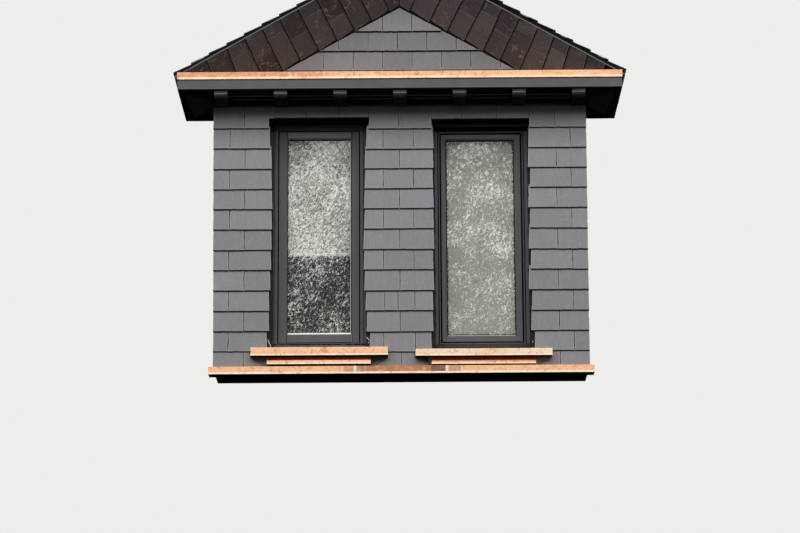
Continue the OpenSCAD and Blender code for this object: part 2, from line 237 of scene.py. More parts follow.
RIM_TONE = 1.9  # the worn arris of a slate: tones above 1 are lighter
ARRIS = 1.2
TAIL_BAND = 5  # how far above its lowest point an outline still counts as its tail
NO_END = -9999
WEAR = 0.8  # unevenness of the cut edges, with a point every WEAR_STEP
WEAR_STEP = 24


class Face:
    """A plane that slates are laid on: origin, direction across and up the courses, and its outward normal."""

    def __init__(self, origin, across, up, out, mirror=False):
        self.o, self.u, self.v, self.w = Vector(origin), Vector(across), Vector(up), Vector(out)
        self.mirror = mirror
        self.flip = (self.u.cross(self.v).dot(self.w) < 0) != mirror

    def place(self, u, v, w):
        p = self.o + self.u * u + self.v * v + self.w * w
        return (-p.x if self.mirror else p.x, p.y, p.z)


FRONT_FACE = Face((0, 0, 0), (1, 0, 0), (0, 0, 1), (0, -1, 0))


def slab(shape, face, poly, foot, top, lean, thick, tone, seed, rim, cut, dark_end):
    """One slate. Its front is top above the plane at v = 0 and falls by lean for each unit of v. Its tail,
    along the line foot, is dressed back over cut = (height, depth). The dressed faces, and an end before
    dark_end, are in material 1, a dark colour that on the dressed faces paints the shade under the tail."""
    n = len(poly)
    (u0, v0), (u1, v1) = foot
    rise = (v1 - v0) / max(u1 - u0, 1)
    low = [v < v0 + rise * (u - u0) + TAIL_BAND for u, v in poly]
    dark = [at_tail or u < dark_end for (u, v), at_tail in zip(poly, low)]
    rings = [[(u, v + cut[0] * at_tail, 0) for (u, v), at_tail in zip(inset(poly, d), low)]
             for d in (rim, ARRIS)]
    rings.append([(u, v, cut[1] if at_tail else ARRIS) for (u, v), at_tail in zip(poly, low)])
    rings.append([(u, v, thick) for u, v in poly])
    verts = [face.place(u, v, top - v * lean - deep) for points in rings for u, v, deep in points]
    faces, mats = [list(range(n))], [0]
    for a in (0, n, 2 * n):
        for i in range(n):
            j = (i + 1) % n
            faces.append([a + i, a + n + i, a + n + j, a + j])
            mats.append(int(a > 0 and dark[i] and dark[j]))
    faces.append(list(range(4 * n - 1, 3 * n - 1, -1)))
    mats.append(0)
    if face.flip:
        faces = [f[::-1] for f in faces]
    shape.add(verts, faces, [tone] * n + [RIM_TONE] * 3 * n, seed, mats)


def backing(shape, face, poly, low=0, high=1.2):
    """A black sheet behind slates, as material 1."""
    shape.loft([[face.place(u, v, w) for u, v in poly] for w in (high, low)], mats=1, flip=not face.flip)


def lay(shape, face, tail, head, joints, rng, high, lean, thick, holes=(), cuts=(), gap=3.2, under=24,
        skew=0.0015, tones=(0, 1), chips=0.1, least=14, flare=0.0, cut=(6, 5), warp=None, dark_end=NO_END):
    """Lays one course from its tail to the next one's, with joints from one end to the other."""
    for a, b in zip(joints, joints[1:]):
        half = gap / 2 * rng.uniform(0.85, 1.2)
        for poly in carve((a + half, tail, b - half, head + under), holes):
            for c in cuts:
                poly = clip(poly, *c)
            if len(poly) < 3:
                continue
            us, vs = zip(*poly)
            wide, tall = max(us) - min(us), max(vs) - min(vs)
            if min(wide, tall) < least or area(poly) < least * 30:
                continue
            turn, slip = rng.uniform(-skew, skew), rng.uniform(-0.9, 0.9)
            mid = sum(us) / len(us)

            def move(p):
                u, v = warp(*p) if warp else p
                spread = flare * (u > joints[-1] - 20) * (0.5 - (v - tail) / (head - tail))
                return u - turn * (v - tail) + spread, v + turn * (u - mid) + slip

            foot = [move((u, min(vs))) for u in (min(us), max(us))]
            outline = worn([move(p) for p in poly], rng, chips)
            slab(shape, face, outline, foot, high + lean * tail + rng.uniform(-0.2, 0.6), lean, thick,
                 rng.uniform(*tones), rng.uniform(0, 100), min(7, wide * 0.15, tall * 0.15), cut, dark_end)


def broken(u0, u1, wide, offset, rng, sway=0.12):
    """Joint places from u0 to u1, about wide apart, the first one at offset."""
    joints, u = [u0], u0 + offset
    while u < u1 - 0.25 * wide:
        if u > u0 + 0.2 * wide:
            joints.append(u + rng.uniform(-sway, sway) * wide)
        u += wide
    return joints + [u1]


# ----- bars and rings -----

def section(shape, profile, x0, x1, wave=0.0, step=45, tone=0.5, seed=0.0, mats=0):
    """A closed bar along X with a section of (y, z, tone) points, given clockwise as seen from +X."""
    count = max(1, round((x1 - x0) / step)) if wave else 1
    rings = []
    for k in range(count + 1):
        x = x0 + (x1 - x0) * k / count
        waves = [noise.noise(Vector((x * 0.006 + seed, p[1] * 0.03, seed))) * wave for p in profile]
        rings.append([(x, p[0] + w, p[1] + w * 0.4) for p, w in zip(profile, waves)])
    tones = [p[2] if len(p) > 2 else tone for p in profile] * len(rings)
    side = mats if isinstance(mats, list) else [mats] * len(profile)
    shape.loft(rings, tones, seed, side * count + [0, 0])


def ring(shape, inner, outer, profile):
    """A mitred ring around a window between two outlines (x0, x1, z0, z1). A point of its profile is measured
    outwards from the inner outline ("i") or inwards from the outer one ("o"): (outline, distance, y)."""
    n = len(profile)
    verts = []
    for i, j in ((0, 2), (1, 2), (1, 3), (0, 3)):
        for line, d, y in profile:
            edge, away = (inner, d) if line == "i" else (outer, -d)
            verts.append((edge[i] + (away if i else -away), y, edge[j] + (away if j == 3 else -away)))
    faces = []
    for k in range(4):
        for i in range(n):
            j, m = (i + 1) % n, (k + 1) % 4
            faces.append([k * n + i, m * n + i, m * n + j, k * n + j])
    shape.add(verts, faces)


def lengths(*ends):
    """The stretches between these ends, numbered."""
    return [(i, *pair) for i, pair in enumerate(zip(ends, ends[1:]))]


def box(shape, x0, x1, y0, y1, z0, z1, mats=0):
    section(shape, [(y0, z0), (y0, z1), (y1, z1), (y1, z0)], x0, x1, mats=mats)


def grid(nx, nz):
    """The faces of nx by nz cells whose points run along X first."""
    row = nx + 1
    return [[a, a + 1, a + row + 1, a + row] for j in range(nz) for a in range(j * row, j * row + nx)]


# ----- materials -----

class Nodes:
    """A node tree, with short ways to add nodes."""

    def __init__(self, owner):
        owner.use_nodes = True
        self.nodes, self.links = owner.node_tree.nodes, owner.node_tree.links

    def put(self, value, socket):
        if isinstance(value, bpy.types.NodeSocket):
            self.links.new(value, socket)
        else:
            socket.default_value = value

    def add(self, kind, inputs=None, **props):
        node = self.nodes.new(kind)
        for k, v in props.items():
            setattr(node, k, v)
        for k, v in (inputs or {}).items():
            self.put(v, node.inputs[k])
        return node

    def math(self, op, a, b=0.0):
        return self.add("ShaderNodeMath", {0: a, 1: b}, operation=op).outputs[0]

    def ramp(self, value, low, high, start=0.0, end=1.0):
        """From start at low to end at high, and level beyond."""
        span = {"Value": value, "From Min": low, "From Max": high, "To Min": start, "To Max": end}
        return self.add("ShaderNodeMapRange", span).outputs["Result"]

    def split(self, vector):
        return self.add("ShaderNodeSeparateXYZ", {0: vector}).outputs

    def blend(self, fac, a, b):
        return self.add("ShaderNodeMixShader", {0: fac, 1: a, 2: b}).outputs[0]

    def rays(self, *kinds):
        """1 for rays of these kinds."""
        path = self.add("ShaderNodeLightPath").outputs
        last = path[f"Is {kinds[0]} Ray"]
        for kind in kinds[1:]:
            last = self.math("MAXIMUM", last, path[f"Is {kind} Ray"])
        return last


class Paint(Nodes):
    """A material and its nodes."""

    def __init__(self, name, rough, metallic=0.0, shine=0.5):
        self.mat = bpy.data.materials.new(name)
        super().__init__(self.mat)
        self.bsdf = self.nodes["Principled BSDF"]
        self.set({"Roughness": rough, "Metallic": metallic, "Specular IOR Level": shine})

    def set(self, values):
        for label, v in values.items():
            self.put(v, self.bsdf.inputs[label])

    def attribute(self, name):
        return self.add("ShaderNodeAttribute", attribute_name=name).outputs["Fac"]

    def place(self):
        return self.add("ShaderNodeTexCoord").outputs["Object"]

    def space(self, stretch=(1, 1, 1)):
        """Coordinates in metres, moved by each piece's own seed so that the grain doesn't run on."""
        shift = self.add("ShaderNodeCombineXYZ", {i: self.attribute("seed") for i in range(3)}).outputs[0]
        at = self.add("ShaderNodeVectorMath", {0: self.place(), 1: shift}, operation="ADD").outputs[0]
        return self.add("ShaderNodeMapping", {"Vector": at, "Scale": stretch}).outputs[0]

    def noise(self, at, scale, detail=3.0, rough=0.55, distort=0.0):
        grain = {"Vector": at, "Scale": scale, "Detail": detail, "Roughness": rough, "Distortion": distort}
        return self.add("ShaderNodeTexNoise", grain).outputs["Fac"]

    def thread(self, level):
        """1 along the thin lines where a level is about a half."""
        return self.ramp(self.math("ABSOLUTE", self.math("SUBTRACT", level, 0.5)), 0.022, 0.006)

    def mix(self, fac, a, b, blend="MIX"):
        a, b = (v if isinstance(v, bpy.types.NodeSocket) else (*v, 1.0) for v in (a, b))
        return self.add("ShaderNodeMix", {0: fac, 6: a, 7: b}, data_type="RGBA", blend_type=blend).outputs[2]

    def cover(self, base, level, low, high, share, colour):
        """The colour over the base where the level goes from low to high."""
        return self.mix(self.math("MULTIPLY", self.ramp(level, low, high), share), base, colour)

    def facing(self):
        """1 on faces turned to the front."""
        normal = self.add("ShaderNodeNewGeometry").outputs["Normal"]
        return self.ramp(self.split(normal)["Y"], -0.5, -0.7)

    def matt(self, colour):
        return self.add("ShaderNodeBsdfDiffuse", {"Color": (*colour, 1)}).outputs[0]

    def clear(self, colour=(1, 1, 1)):
        return self.add("ShaderNodeBsdfTransparent", {"Color": (*colour, 1)}).outputs[0]

    def finish(self, colour, rough, bump):
        """Sets the colour, the roughness as (level, low, high) and the bump as (height, strength, distance)."""
        relief = self.add("ShaderNodeBump", dict(zip(("Height", "Strength", "Distance"), bump))).outputs[0]
        self.set({"Base Color": colour, "Roughness": self.ramp(rough[0], 0, 1, *rough[1:]), "Normal": relief})
        return self.mat

    def show(self, shader):
        self.put(shader, self.nodes["Material Output"].inputs["Surface"])


def linear(v):
    """The linear value of a channel that shows as v of 255."""
    c = v / 255
    return c / 12.92 if c <= 0.04045 else ((c + 0.055) / 1.055) ** 2.4


def rgb(*c):
    return tuple(linear(v) for v in c)


def slate_paint(name, dark, mid, light, scuff, scuffs, rim=0.5, cloud=0.6, lines=0.0, hue=1.0):
    """Riven slate. Each piece has its own tone and a slightly warm or cool hue. Lines are pale scratches."""
    dark, mid, light, scuff = (rgb(*c) for c in (dark, mid, light, scuff))
    m = Paint(name, 0.62, shine=0.35)
    at = m.space()
    tone = m.attribute("tone")
    base = m.cover(m.mix(tone, dark, light), m.noise(at, 7, 4), 0.35, 0.65, cloud, mid)
    share = m.math("FRACT", m.math("MULTIPLY", m.attribute("seed"), 7.31))
    base = m.mix(hue, base, m.mix(share, (1.05, 0.985, 0.985), (0.955, 1.01, 1.03)), "MULTIPLY")
    base = m.cover(base, tone, 1.0, RIM_TONE, rim, scuff)
    fine = m.noise(at, 160, 4, 0.7)
    base = m.cover(base, fine, 0.45, 0.8, 0.25, scuff)
    streak = m.noise(m.space((1.0, 1.0, 7.0)), 26, 5, 0.65, 1.4)
    patches = m.math("MULTIPLY", m.ramp(m.noise(at, 9, 2), 0.45, 0.65), scuffs)
    base = m.cover(base, streak, 0.64, 0.72, patches, scuff)
    if lines:
        thin = m.thread(m.noise(at, 12, 2, 0.5, 0.9))
        base = m.cover(base, m.noise(at, 10, 2), 0.53, 0.62, m.math("MULTIPLY", thin, lines), scuff)
    veins = m.mix(m.ramp(m.noise(m.space((7, 1, 0.8)), 14, 4, 0.6), 0.3, 0.7), (0.93,) * 3, (1.06,) * 3)
    base = m.mix(1.0, base, veins, "MULTIPLY")
    base = m.cover(base, m.noise(at, 110, 2, 0.5), 0.66, 0.7, 0.55, scuff)
    riven = m.math("ADD", m.noise(at, 34, 6, 0.6, 0.6), m.math("MULTIPLY", fine, 0.25))
    return m.finish(base, (fine, 0.5, 0.75), (riven, 0.55, 0.0022))


def copper_paint(name):
    m = Paint(name, 0.4, metallic=0.4, shine=0.4)
    at = m.space()
    tone = m.attribute("tone")
    cloud, mottle, speck = m.noise(at, 6, 3, 0.6, 0.5), m.noise(at, 30, 4, 0.65, 0.8), m.noise(at, 110, 3, 0.6)
    scratch = m.noise(m.space((1, 1, 5)), 60, 4, 0.7, 2.0)
    # tones above 0.5 turn the copper towards pale cream, a painted highlight on the folded hems; lower tones
    # darken it, for duller lengths and for painted shade on undersides
    base = m.mix(m.ramp(tone, 0.5, 1.0), rgb(255, 197, 151), rgb(255, 247, 221))
    for level, low, high, share, colour in (
            (tone, 0.5, 0.0, 1.0, (193, 129, 91)), (cloud, 0.48, 0.75, 0.45, (238, 162, 120)),
            (mottle, 0.55, 0.67, 0.7, (192, 120, 86)), (mottle, 0.48, 0.36, 0.4, (255, 228, 194)),
            (speck, 0.63, 0.7, 0.65, (150, 92, 70)), (scratch, 0.64, 0.69, 0.65, (140, 86, 62))):
        base = m.cover(base, level, low, high, share, rgb(*colour))
    return m.finish(base, (cloud, 0.34, 0.5), (m.noise(at, 22, 3), 0.25, 0.001))


def plain_paint(name, colour, vary, rough, shine, metallic=0.0, scale=8, fine=220, depth=0.15, off_front_colour=None):
    """A painted or plain surface: a cloudy colour, a fine tooth and a little wear. Off_front_colour is the
    colour of every face that isn't turned to the front, a painted difference of light and shade."""
    colour = rgb(*colour)
    m = Paint(name, rough, metallic, shine)
    cloud, tooth = m.noise(m.place(), scale, 4, 0.6), m.noise(m.place(), fine, 3, 0.6)
    base = m.mix(m.ramp(cloud, 0.3, 0.7), *(tuple(c * k for c in colour) for k in (1 - vary, 1 + vary)))
    base = m.cover(base, tooth, 0.6, 0.85, 0.3, tuple(min(1, c * 1.5) for c in colour))
    if off_front_colour:
        base = m.mix(m.facing(), rgb(*off_front_colour), base)
    return m.finish(base, (tooth, rough - 0.06, min(1, rough + 0.1)), (tooth, depth, 0.0006))


# the paler band on the brackets is a painted light
PAINTED_LIGHT_HEIGHTS = (1.909, 1.923)  # heights on the brackets between which the paint gets paler
# heights on the brackets between which the front darkens downwards, a painted shade along its lower edge
PAINTED_SHADE_HEIGHTS = (1.911, 1.907)


def bracket_paint(name):
    """Painted light and shade: the paint is paler at the top of a bracket's front, dark along its lower edge
    and on its sides.
    """
    m = Paint(name, 0.6, shine=0.0)
    parts = m.split(m.place())
    front = m.mix(m.ramp(parts["Z"], *PAINTED_LIGHT_HEIGHTS), rgb(140, 139, 142), rgb(252, 251, 253))
    front = m.mix(m.ramp(parts["Z"], *PAINTED_SHADE_HEIGHTS), front, rgb(50, 50, 53))
    # the sides and underside: painted shade, paler at the front edge and darker towards the wall
    under = m.mix(m.ramp(parts["Y"], -0.255, -0.195), rgb(104, 103, 108), rgb(46, 45, 50))
    m.set({"Base Color": m.mix(m.facing(), under, front)})
    return m.mat


def timber_paint(name):
    m = Paint(name, 0.6, shine=0.3)
    grain = {"Vector": m.space((1, 0.35, 6)), "Scale": 9.0, "Distortion": 5.0, "Detail": 4.0,
             "Detail Scale": 1.6}
    rings = m.add("ShaderNodeTexWave", grain).outputs["Fac"]
    base = m.mix(rings, rgb(196, 160, 112), rgb(170, 130, 84))
    base = m.cover(base, m.noise(m.space(), 5, 4), 0.4, 0.7, 0.5, rgb(150, 116, 80))
    return m.finish(base, (rings, 0.55, 0.75), (rings, 0.2, 0.0006))


def glass_paint(name, dark, light, size, patchy, lines, fall):
    """Window glass with a painted reflection: matt dark and light flecks, each as (from level, to level, how
    dense, colour), and thin dark lines. The levels fall towards the foot. Light reaches what is behind it
    unbent."""
    m = Paint(name, 0.0)
    m.set({"IOR": 1.45, "Base Color": (0.93, 0.95, 0.92, 1), "Transmission Weight": 1.0})
    at = m.place()
    turn = {"Vector": at, "Rotation": (0, radians(32), 0), "Scale": (1, 1, 1.6)}
    turned = m.add("ShaderNodeMapping", turn, vector_type="TEXTURE").outputs[0]
    patches = m.math("MULTIPLY", m.math("SUBTRACT", m.noise(at, 5, 3, 0.6), 0.5), patchy)
    level = m.math("ADD", m.noise(turned, size, 3, 0.7, 1.2), patches)
    level = m.math("SUBTRACT", level, m.math("MULTIPLY", m.ramp(m.split(at)["Z"], 0.9, 0.82), fall))
    thin = m.math("MULTIPLY", m.thread(m.noise(turned, size * 0.35, 4, 0.6, 2.5)), lines)
    shown = m.blend(thin, m.bsdf.outputs[0], m.matt(dark[3]))
    for low, high, dense, colour in (dark, light):
        shown = m.blend(m.math("MULTIPLY", m.ramp(level, low, high), dense), shown, m.matt(colour))
    m.show(m.blend(m.rays("Shadow", "Diffuse"), shown, m.clear((0.85, 0.87, 0.85))))
    return m.mat


SLATE = slate_paint("slate", (122, 122, 124), (128, 128, 130), (135, 135, 137), (166, 166, 168), 0.35, hue=0.45)
ROOF_SLATE = slate_paint("roof_slate", (88, 88, 91), (98, 98, 101), (108, 108, 112), (140, 140, 142), 0.3, 0.4)
# a darker copy of the wall's slate for the gable, a painted shade under the splay
GABLE_SLATE = slate_paint("gable_slate", (103, 103, 105), (110, 110, 112), (117, 117, 119), (150, 150, 152),
                          0.35, hue=0.45)
BROWN_SLATE = {
    side: slate_paint(name + "_brown_slate", *colours, 0.7, 0.25, 0.4, 0.85, 0.4) for (side, name), colours in
    zip(SIDES, (((33, 28, 32), (51, 46, 51), (78, 73, 76), (132, 124, 118)),
                ((43, 39, 44), (63, 61, 66), (95, 91, 95), (134, 128, 122))))}
DARK_PAINT = plain_paint("dark_paint", (91, 91, 94), 0.05, 0.5, 0.15)
# a paler copy of the dark paint for the left sash's top rail, a painted light in the head's shade
HEAD_RAIL_LIGHT = plain_paint("head_rail_painted_light", (113, 112, 116), 0.05, 0.5, 0.15)
EAVE_PAINT = plain_paint("eave_paint", (93, 92, 95), 0.07, 0.6, 0.0, scale=14)
BRACKET_PAINT = bracket_paint("bracket_paint")
BEAD_PAINT = plain_paint("eave_bead_paint", (108, 107, 110), 0.05, 0.6, 0.0)
# the bed mould: its front is near black, a painted shade under the eave, and its other faces paler
BED_PAINT = plain_paint("bed_paint", (28, 27, 31), 0.06, 0.7, 0.0, off_front_colour=(84, 82, 88))
# soffits, eave undersides and window linings: painted near black, a painted shade
SOFFIT_SHADE = plain_paint("soffit_painted_shade", (28, 27, 31), 0.06, 0.7, 0.0)
VERGE_PAINT = plain_paint("verge_paint", (104, 101, 104), 0.08, 0.6, 0.1)
COPPER = copper_paint("copper")
# tarnished copper for the slot under a sill, whose strong red is also a painted reflection of light between the
# copper faces
COPPER_TARNISH_AND_REFLECTION = plain_paint("copper_tarnish_and_painted_reflection", (240, 98, 54), 0.25, 0.6, 0.1, scale=20)
SOLDER = plain_paint("solder", (242, 232, 224), 0.08, 0.4, 0.4, 0.3, scale=40)
SMEAR = plain_paint("solder_smear", (205, 160, 128), 0.3, 0.5, 0.2, scale=60)
COPPER_DULL = plain_paint("copper_dull", (148, 104, 79), 0.3, 0.5, 0.2, 0.2, scale=60)
COPPER_SHADE = plain_paint("copper_shade", (40, 16, 10), 0.2, 0.7, 0.0)
TIMBER = timber_paint("timber")
PLASTER = plain_paint("plaster", (214, 211, 203), 0.04, 0.85, 0.2, scale=5, fine=260)
# felt; as the tails of the cheek's and the roof's slates it is a painted shade
FELT = plain_paint("felt", (38, 38, 42), 0.25, 0.8, 0.1, scale=60, fine=300, depth=0.5)
# the underlay behind the wall's slates, and their dressed tails, where it is a painted shade
SLATE_UNDERLAY_AND_TAIL_SHADE = plain_paint("slate_underlay_and_tail_shade", (56, 56, 59), 0.1, 0.6, 0.05)
MEMBRANES = [plain_paint(name + "_membrane", colour, 0.2, 0.8, 0.1, scale=40)
             for (_, name), colour in zip(SIDES, ((90, 86, 86), (62, 60, 63)))]
# dark trim; as the tails of the gable's and the splay's slates it is a painted shade
TRIM = plain_paint("trim", (24, 24, 27), 0.1, 0.6, 0.05)
SLOT_SHADOW = plain_paint("gasket_and_painted_shade", (22, 22, 24), 0.1, 0.6, 0.2)
BLACK = plain_paint("black", (7, 7, 8), 0.1, 0.7, 0.0)
# the bead and spacer colours are a painted highlight on the bars around the panes
BEAD = plain_paint("bead", (176, 177, 175), 0.05, 0.5, 0.3)
SPACER = plain_paint("spacer", (252, 252, 250), 0.03, 0.4, 0.4)
SEALANT = plain_paint("sealant", (198, 196, 194), 0.1, 0.6, 0.3, scale=60)
CLOTH = plain_paint("blind_cloth", (198, 195, 189), 0.05, 0.9, 0.1, scale=4, fine=900, depth=0.4)
BLIND_BAR = plain_paint("blind_bar", (246, 248, 244), 0.04, 0.5, 0.3, scale=10)
GLASS = {-1: glass_paint("left_glass", (0.45, 0.39, 0.3, rgb(40, 42, 38)), (0.5, 0.6, 0.62, rgb(255, 255, 250)),
                         72, 0.22, 0.75, 0.045),
         1: glass_paint("right_glass", (1.0, 0.2, 0.29, rgb(86, 88, 72)), (0.55, 0.6, 0.62, rgb(255, 255, 252)),
                        78, 0.3, 0.0, 0.03)}


# ----- the slate coverings -----

LEAN = 12 / COURSE
THICK = 8


def wall_joints(k):
    """Joints of course k of the front wall, as the photograph shows them on the piers."""
    if k == -1:
        return [-BODY_HALF, -1062, -863, -655, -440, -215, 0, 215, 440, 655, 863, 1068, BODY_HALF]
    if k == 11:
        return [-BODY_HALF, -1066, -867, -641, -419, -216, -8, 216, 425, 664, 885, 1061, BODY_HALF]
    left, right, middle = (1061, 1066, [-6]) if k % 2 else (1165, 1165, [-117, 90])
    middle = {0: [-117, 96], 2: [-110, -20, 94]}.get(k, middle)
    return [-BODY_HALF, -left, -WIN_X, *middle, WIN_X, right, BODY_HALF]


# from a window's middle to the slates beside it, for courses 0 to 11: left and right of the left window, then
# of the right one
OPENINGS = (
    (351, 343, 349, 346), (338, 323, 337, 325), (338, 316, 337, 332), (331, 308, 330, 313),
    (327, 304, 333, 329), (324, 302, 326, 317), (323, 307, 329, 327), (321, 307, 328, 318),
    (325, 312, 332, 332), (326, 312, 328, 320), (338, 321, 327, 325), (347, 337, 337, 332))
# how much higher the tails of courses 0 to 11 lie than an even spacing has them, for each pier
TAILS = ((-2, -4, -6.5, -6, -5.5, -7.5, -5, -3, -4, -1.5, 3, 3.5),
         (-10.5, -14, -9, -12.5, -7.5, -7, -4, -3.5, -3.5, -4, -7, -3),
         (-7, -10, -12.5, -11, -9.5, -11, -5.5, -1.5, 0, -1, -1, 1))
SLANT = 4.5  # how far a slate beside a window is cut back at its head
CORNER_LEAN = (1.3, 0.9)  # how much further out each course ends than the one below it, left and right
HEADS = (9, -5)  # the slates' lower edge above each window, over the head of the opening
SILL_TOPS = (192, 181)  # the slates' lower edge over each sill


def edge_half(k, window, side):
    """From the middle of a window to the slates of course k at its left (0) or right (1)."""
    return OPENINGS[max(k, 0)][2 * window + side]


def build_wall_slates():
    rng = random.Random(11)
    shape = Shape()
    for k in range(-1, 12):
        tail = LEDGE_HIGH + 1 if k < 0 else course(k)
        head = course(k + 1) if k < 11 else BED_Z - 26
        holes = []
        for window in (0, 1):
            c = (2 * window - 1) * WIN_X
            left, right = edge_half(k, window, 0), edge_half(k, window, 1)
            holes += [(c - left, SILL_Z, c + right, HEAD_Z + HEADS[window]),
                      (c - SILL_HALF, SILL_Z, c + SILL_HALF, SILL_TOPS[window]),
                      (c - SUB_HALF, SUB_Z, c + SUB_HALF, SILL_Z + 3)]

        def warp(u, v):
            window = int(u > 0)
            from_window = u - (2 * window - 1) * WIN_X
            side = int(from_window > 0)
            pier = 1 if abs(u) < WIN_X else 2 * window
            if k >= 0 and abs(v - tail) < 1:
                v += TAILS[pier][k]
            if abs(abs(from_window) - edge_half(k, window, side)) < 3:
                u += (2 * side - 1) * SLANT * ((v - tail) / COURSE - 0.5)
            elif abs(u) > BODY_HALF - 3:
                u += copysign(CORNER_LEAN[window] * max(k, 0), u)
            return u, v

        lay(shape, FRONT_FACE, tail, head, wall_joints(k), rng, CLAD, LEAN, THICK, holes, [(0, 1, BED_Z + 4)],
            warp=warp, cut=(4, 4))
    near, far, foot, lintel = WIN_X - 334, WIN_X + 334, LEDGE_HIGH + 1, HEAD_Z + 14
    sheets = [(-near, foot, near, BED_Z)]
    for u0, v0, u1, v1 in ((far, foot, BODY_HALF - 2, BED_Z), (near, foot, far, SILL_Z),
                           (near, lintel, far, BED_Z)):
        sheets += [(u0, v0, u1, v1), (-u1, v0, -u0, v1)]
    for u0, v0, u1, v1 in sheets:
        backing(shape, FRONT_FACE, [(u0, v0), (u1, v0), (u1, v1), (u0, v1)])
    shape.build("wall_slate_courses", [SLATE, SLATE_UNDERLAY_AND_TAIL_SHADE], ["wall_slates"])


GABLE_DROP = 11  # how much lower the gable's courses lie than the wall's would
SPLAY_GAP = 11  # dark gap between the splay and the gable's slates, measured upright


def build_gable_slates():
    rng = random.Random(12)
    shape = Shape()
    low = SHELF_TOP + SHELF_RISE - 5
    apex = RIDGE_Z - SPLAY_DROP / CP + 3
    cuts = [(TP, 1, apex - SPLAY_GAP), (-TP, 1, apex - SPLAY_GAP)]
    for k in range(13, 17):
        tail = max(low, course(k) - GABLE_DROP)
        head = apex if k == 16 else course(k + 1) - GABLE_DROP
        joints = [x + (-15 if k % 2 else -118) for x in range(-1015, 1300, 203)]
        # the top course takes lighter tones, a painted light against the splay's shade
        lay(shape, FRONT_FACE, tail, head, joints, rng, CLAD, LEAN, THICK, (), cuts,
            tones=(1, 1.4) if k == 16 else (0, 1))
    half = (apex - low) / TP
    backing(shape, FRONT_FACE, [(-half, low), (half, low), (0, apex)])
    shape.build("gable_slate_courses", [GABLE_SLATE, TRIM], ["gable_slates"])


def build_cheek_slates(side, name):
    rng = random.Random(13 + side)
    shape = Shape()
    face = Face((WALL_HALF, 0, 0), (0, 1, 0), (0, 0, 1), (1, 0, 0), side < 0)
    cuts = [(1, -1 / CUT_TAN, -CUT_Z / CUT_TAN - 3), (0, 1, SOFFIT_Z)]
    low = CUT_Z + CLAD
    for k in range(2, 13):
        tail, head = max(low, course(k)), course(k + 1)
        if head > tail + 5:
            joints = broken(0.5, 520, 203, 110 if k % 2 else 205, rng, 0.04)
            lay(shape, face, tail, head, joints, rng, CLAD, LEAN, THICK, (), cuts)
    backing(shape, face, [(0, low), (cut_y(low) - 3, low), (cut_y(SOFFIT_Z) - 3, SOFFIT_Z), (0, SOFFIT_Z)])
    shape.build(name + "_cheek_courses", [SLATE, FELT], [name + "_cheek_slates"])


ROOF_LIFT = {-1: 12, 1: 16}  # the tails of the roof's slates over the plane of the roof
ROOF_SWELL = {-1: 0, 1: 8}  # what the middle courses have on top of that
SWELL_AT = 7.5  # the course at the swell's highest


def build_roof_slates(side, name):
    """The slates of one slope. u runs back from the front edge and v up the slope."""
    rng = random.Random(21 + side)
    shape = Shape()
    foot = (RUN * CP, 0, RIDGE_Z - RUN * SP)
    face = Face(foot, (0, 1, 0), (-CP, 0, SP), (SP, 0, CP), side < 0)
    back = (1, -SP / CUT_TAN, (foot[2] - CUT_Z) / CUT_TAN - 4)
    step, top, front = (RUN - 120) / 12, RUN - 60, 4 - FRONT
    for k in range(12):
        joints = broken(-FRONT, 760, 203, 100 if k % 2 else 203, rng, 0.05)
        high = ROOF_LIFT[side] + ROOF_SWELL[side] * min(k / SWELL_AT, (11 - k) / (11 - SWELL_AT))
        lay(shape, face, k * step, (k + 1) * step, joints, rng, high, 11.5 / step, THICK - 0.5, (),
            [back, (0, 1, top)], under=9, cut=(4, 4), dark_end=front)
    starter = broken(-FRONT, 760, 203, 150, rng, 0.05)
    lay(shape, face, 0, 60, starter, rng, ROOF_LIFT[side] - 9, 2 / step, 7, (), [back], under=40, cut=(4, 4),
        dark_end=front)
    sheet = [(front, 4), (cut_y(foot[2]) - 5, 4), (cut_y(RIDGE_Z) - 5, top), (front, top)]
    backing(shape, face, sheet, -20, -18.6)
    shape.build(name + "_roof_courses", [ROOF_SLATE, FELT], [name + "_roof_slates"])


# distance under the roof's surface, depth in front of the verge, material from this point on
VERGE_PROFILE = ((5, 1, 0), (5, 4.5, 0), (7.5, 4.5, 0), (8.5, 1.5, 0), (20, 1.5, 1), (20.5, 4.5, 1),
                 (28, 4.5, 0), (29.5, 3, 0), (29.5, -14, 0), (28, -14, 0), (28, 0.2, 0))


def build_verge(side, name):
    """The metal trim on a verge: a lip under the slates' ends, a black fold and a hem against the splay."""
    shape = Shape()
    ends = [[(side * ((s + d * mitre) * CP - d * SP), -FRONT - ahead, RIDGE_Z - (s + d * mitre) * SP - d * CP)
             for d, ahead, _ in VERGE_PROFILE] for s, mitre in ((0, TP), (RUN + 3, 0))]
    shape.loft(ends, 0.5, 50 + side, [p[2] for p in VERGE_PROFILE] + [0, 0], side < 0)
    shape.build(name + "_verge_trim", [TRIM, VERGE_PAINT], bevel=0.5)


# the tails of the splay's courses from the lowest one up: along the rake at the verge and at the gable, and the
# places of the joints as shares of the width
SPLAY_COURSES = {
    -1: ((-1675, -1706, (0.22,)), (-1534, -1555, (0.5,)), (-1373, -1401, (0.24,)), (-1232, -1237, (0.518,)),
         (-1097, -1089, (0.229,)), (-958, -947, (0.487,)), (-817, -799, (0.215,)), (-670, -657, (0.533,)),
         (-531, -516, (0.23,)), (-399, -375, (0.5,)), (-257, -235, (0.24,)), (-115, -95, (0.5,)), (26, 46, ())),
    1: ((-1633, -1716, (0.22,)), (-1492, -1560, (0.5,)), (-1357, -1400, (0.22,)), (-1232, -1259, (0.437,)),
        (-1107, -1109, (0.202,)), (-964, -956, (0.455,)), (-828, -824, (0.222, 0.631)), (-697, -675, (0.445,)),
        (-558, -537, (0.23,)), (-416, -396, (0.5,)), (-249, -238, (0.24,)), (-105, -95, (0.5,)), (36, 46, ()))}


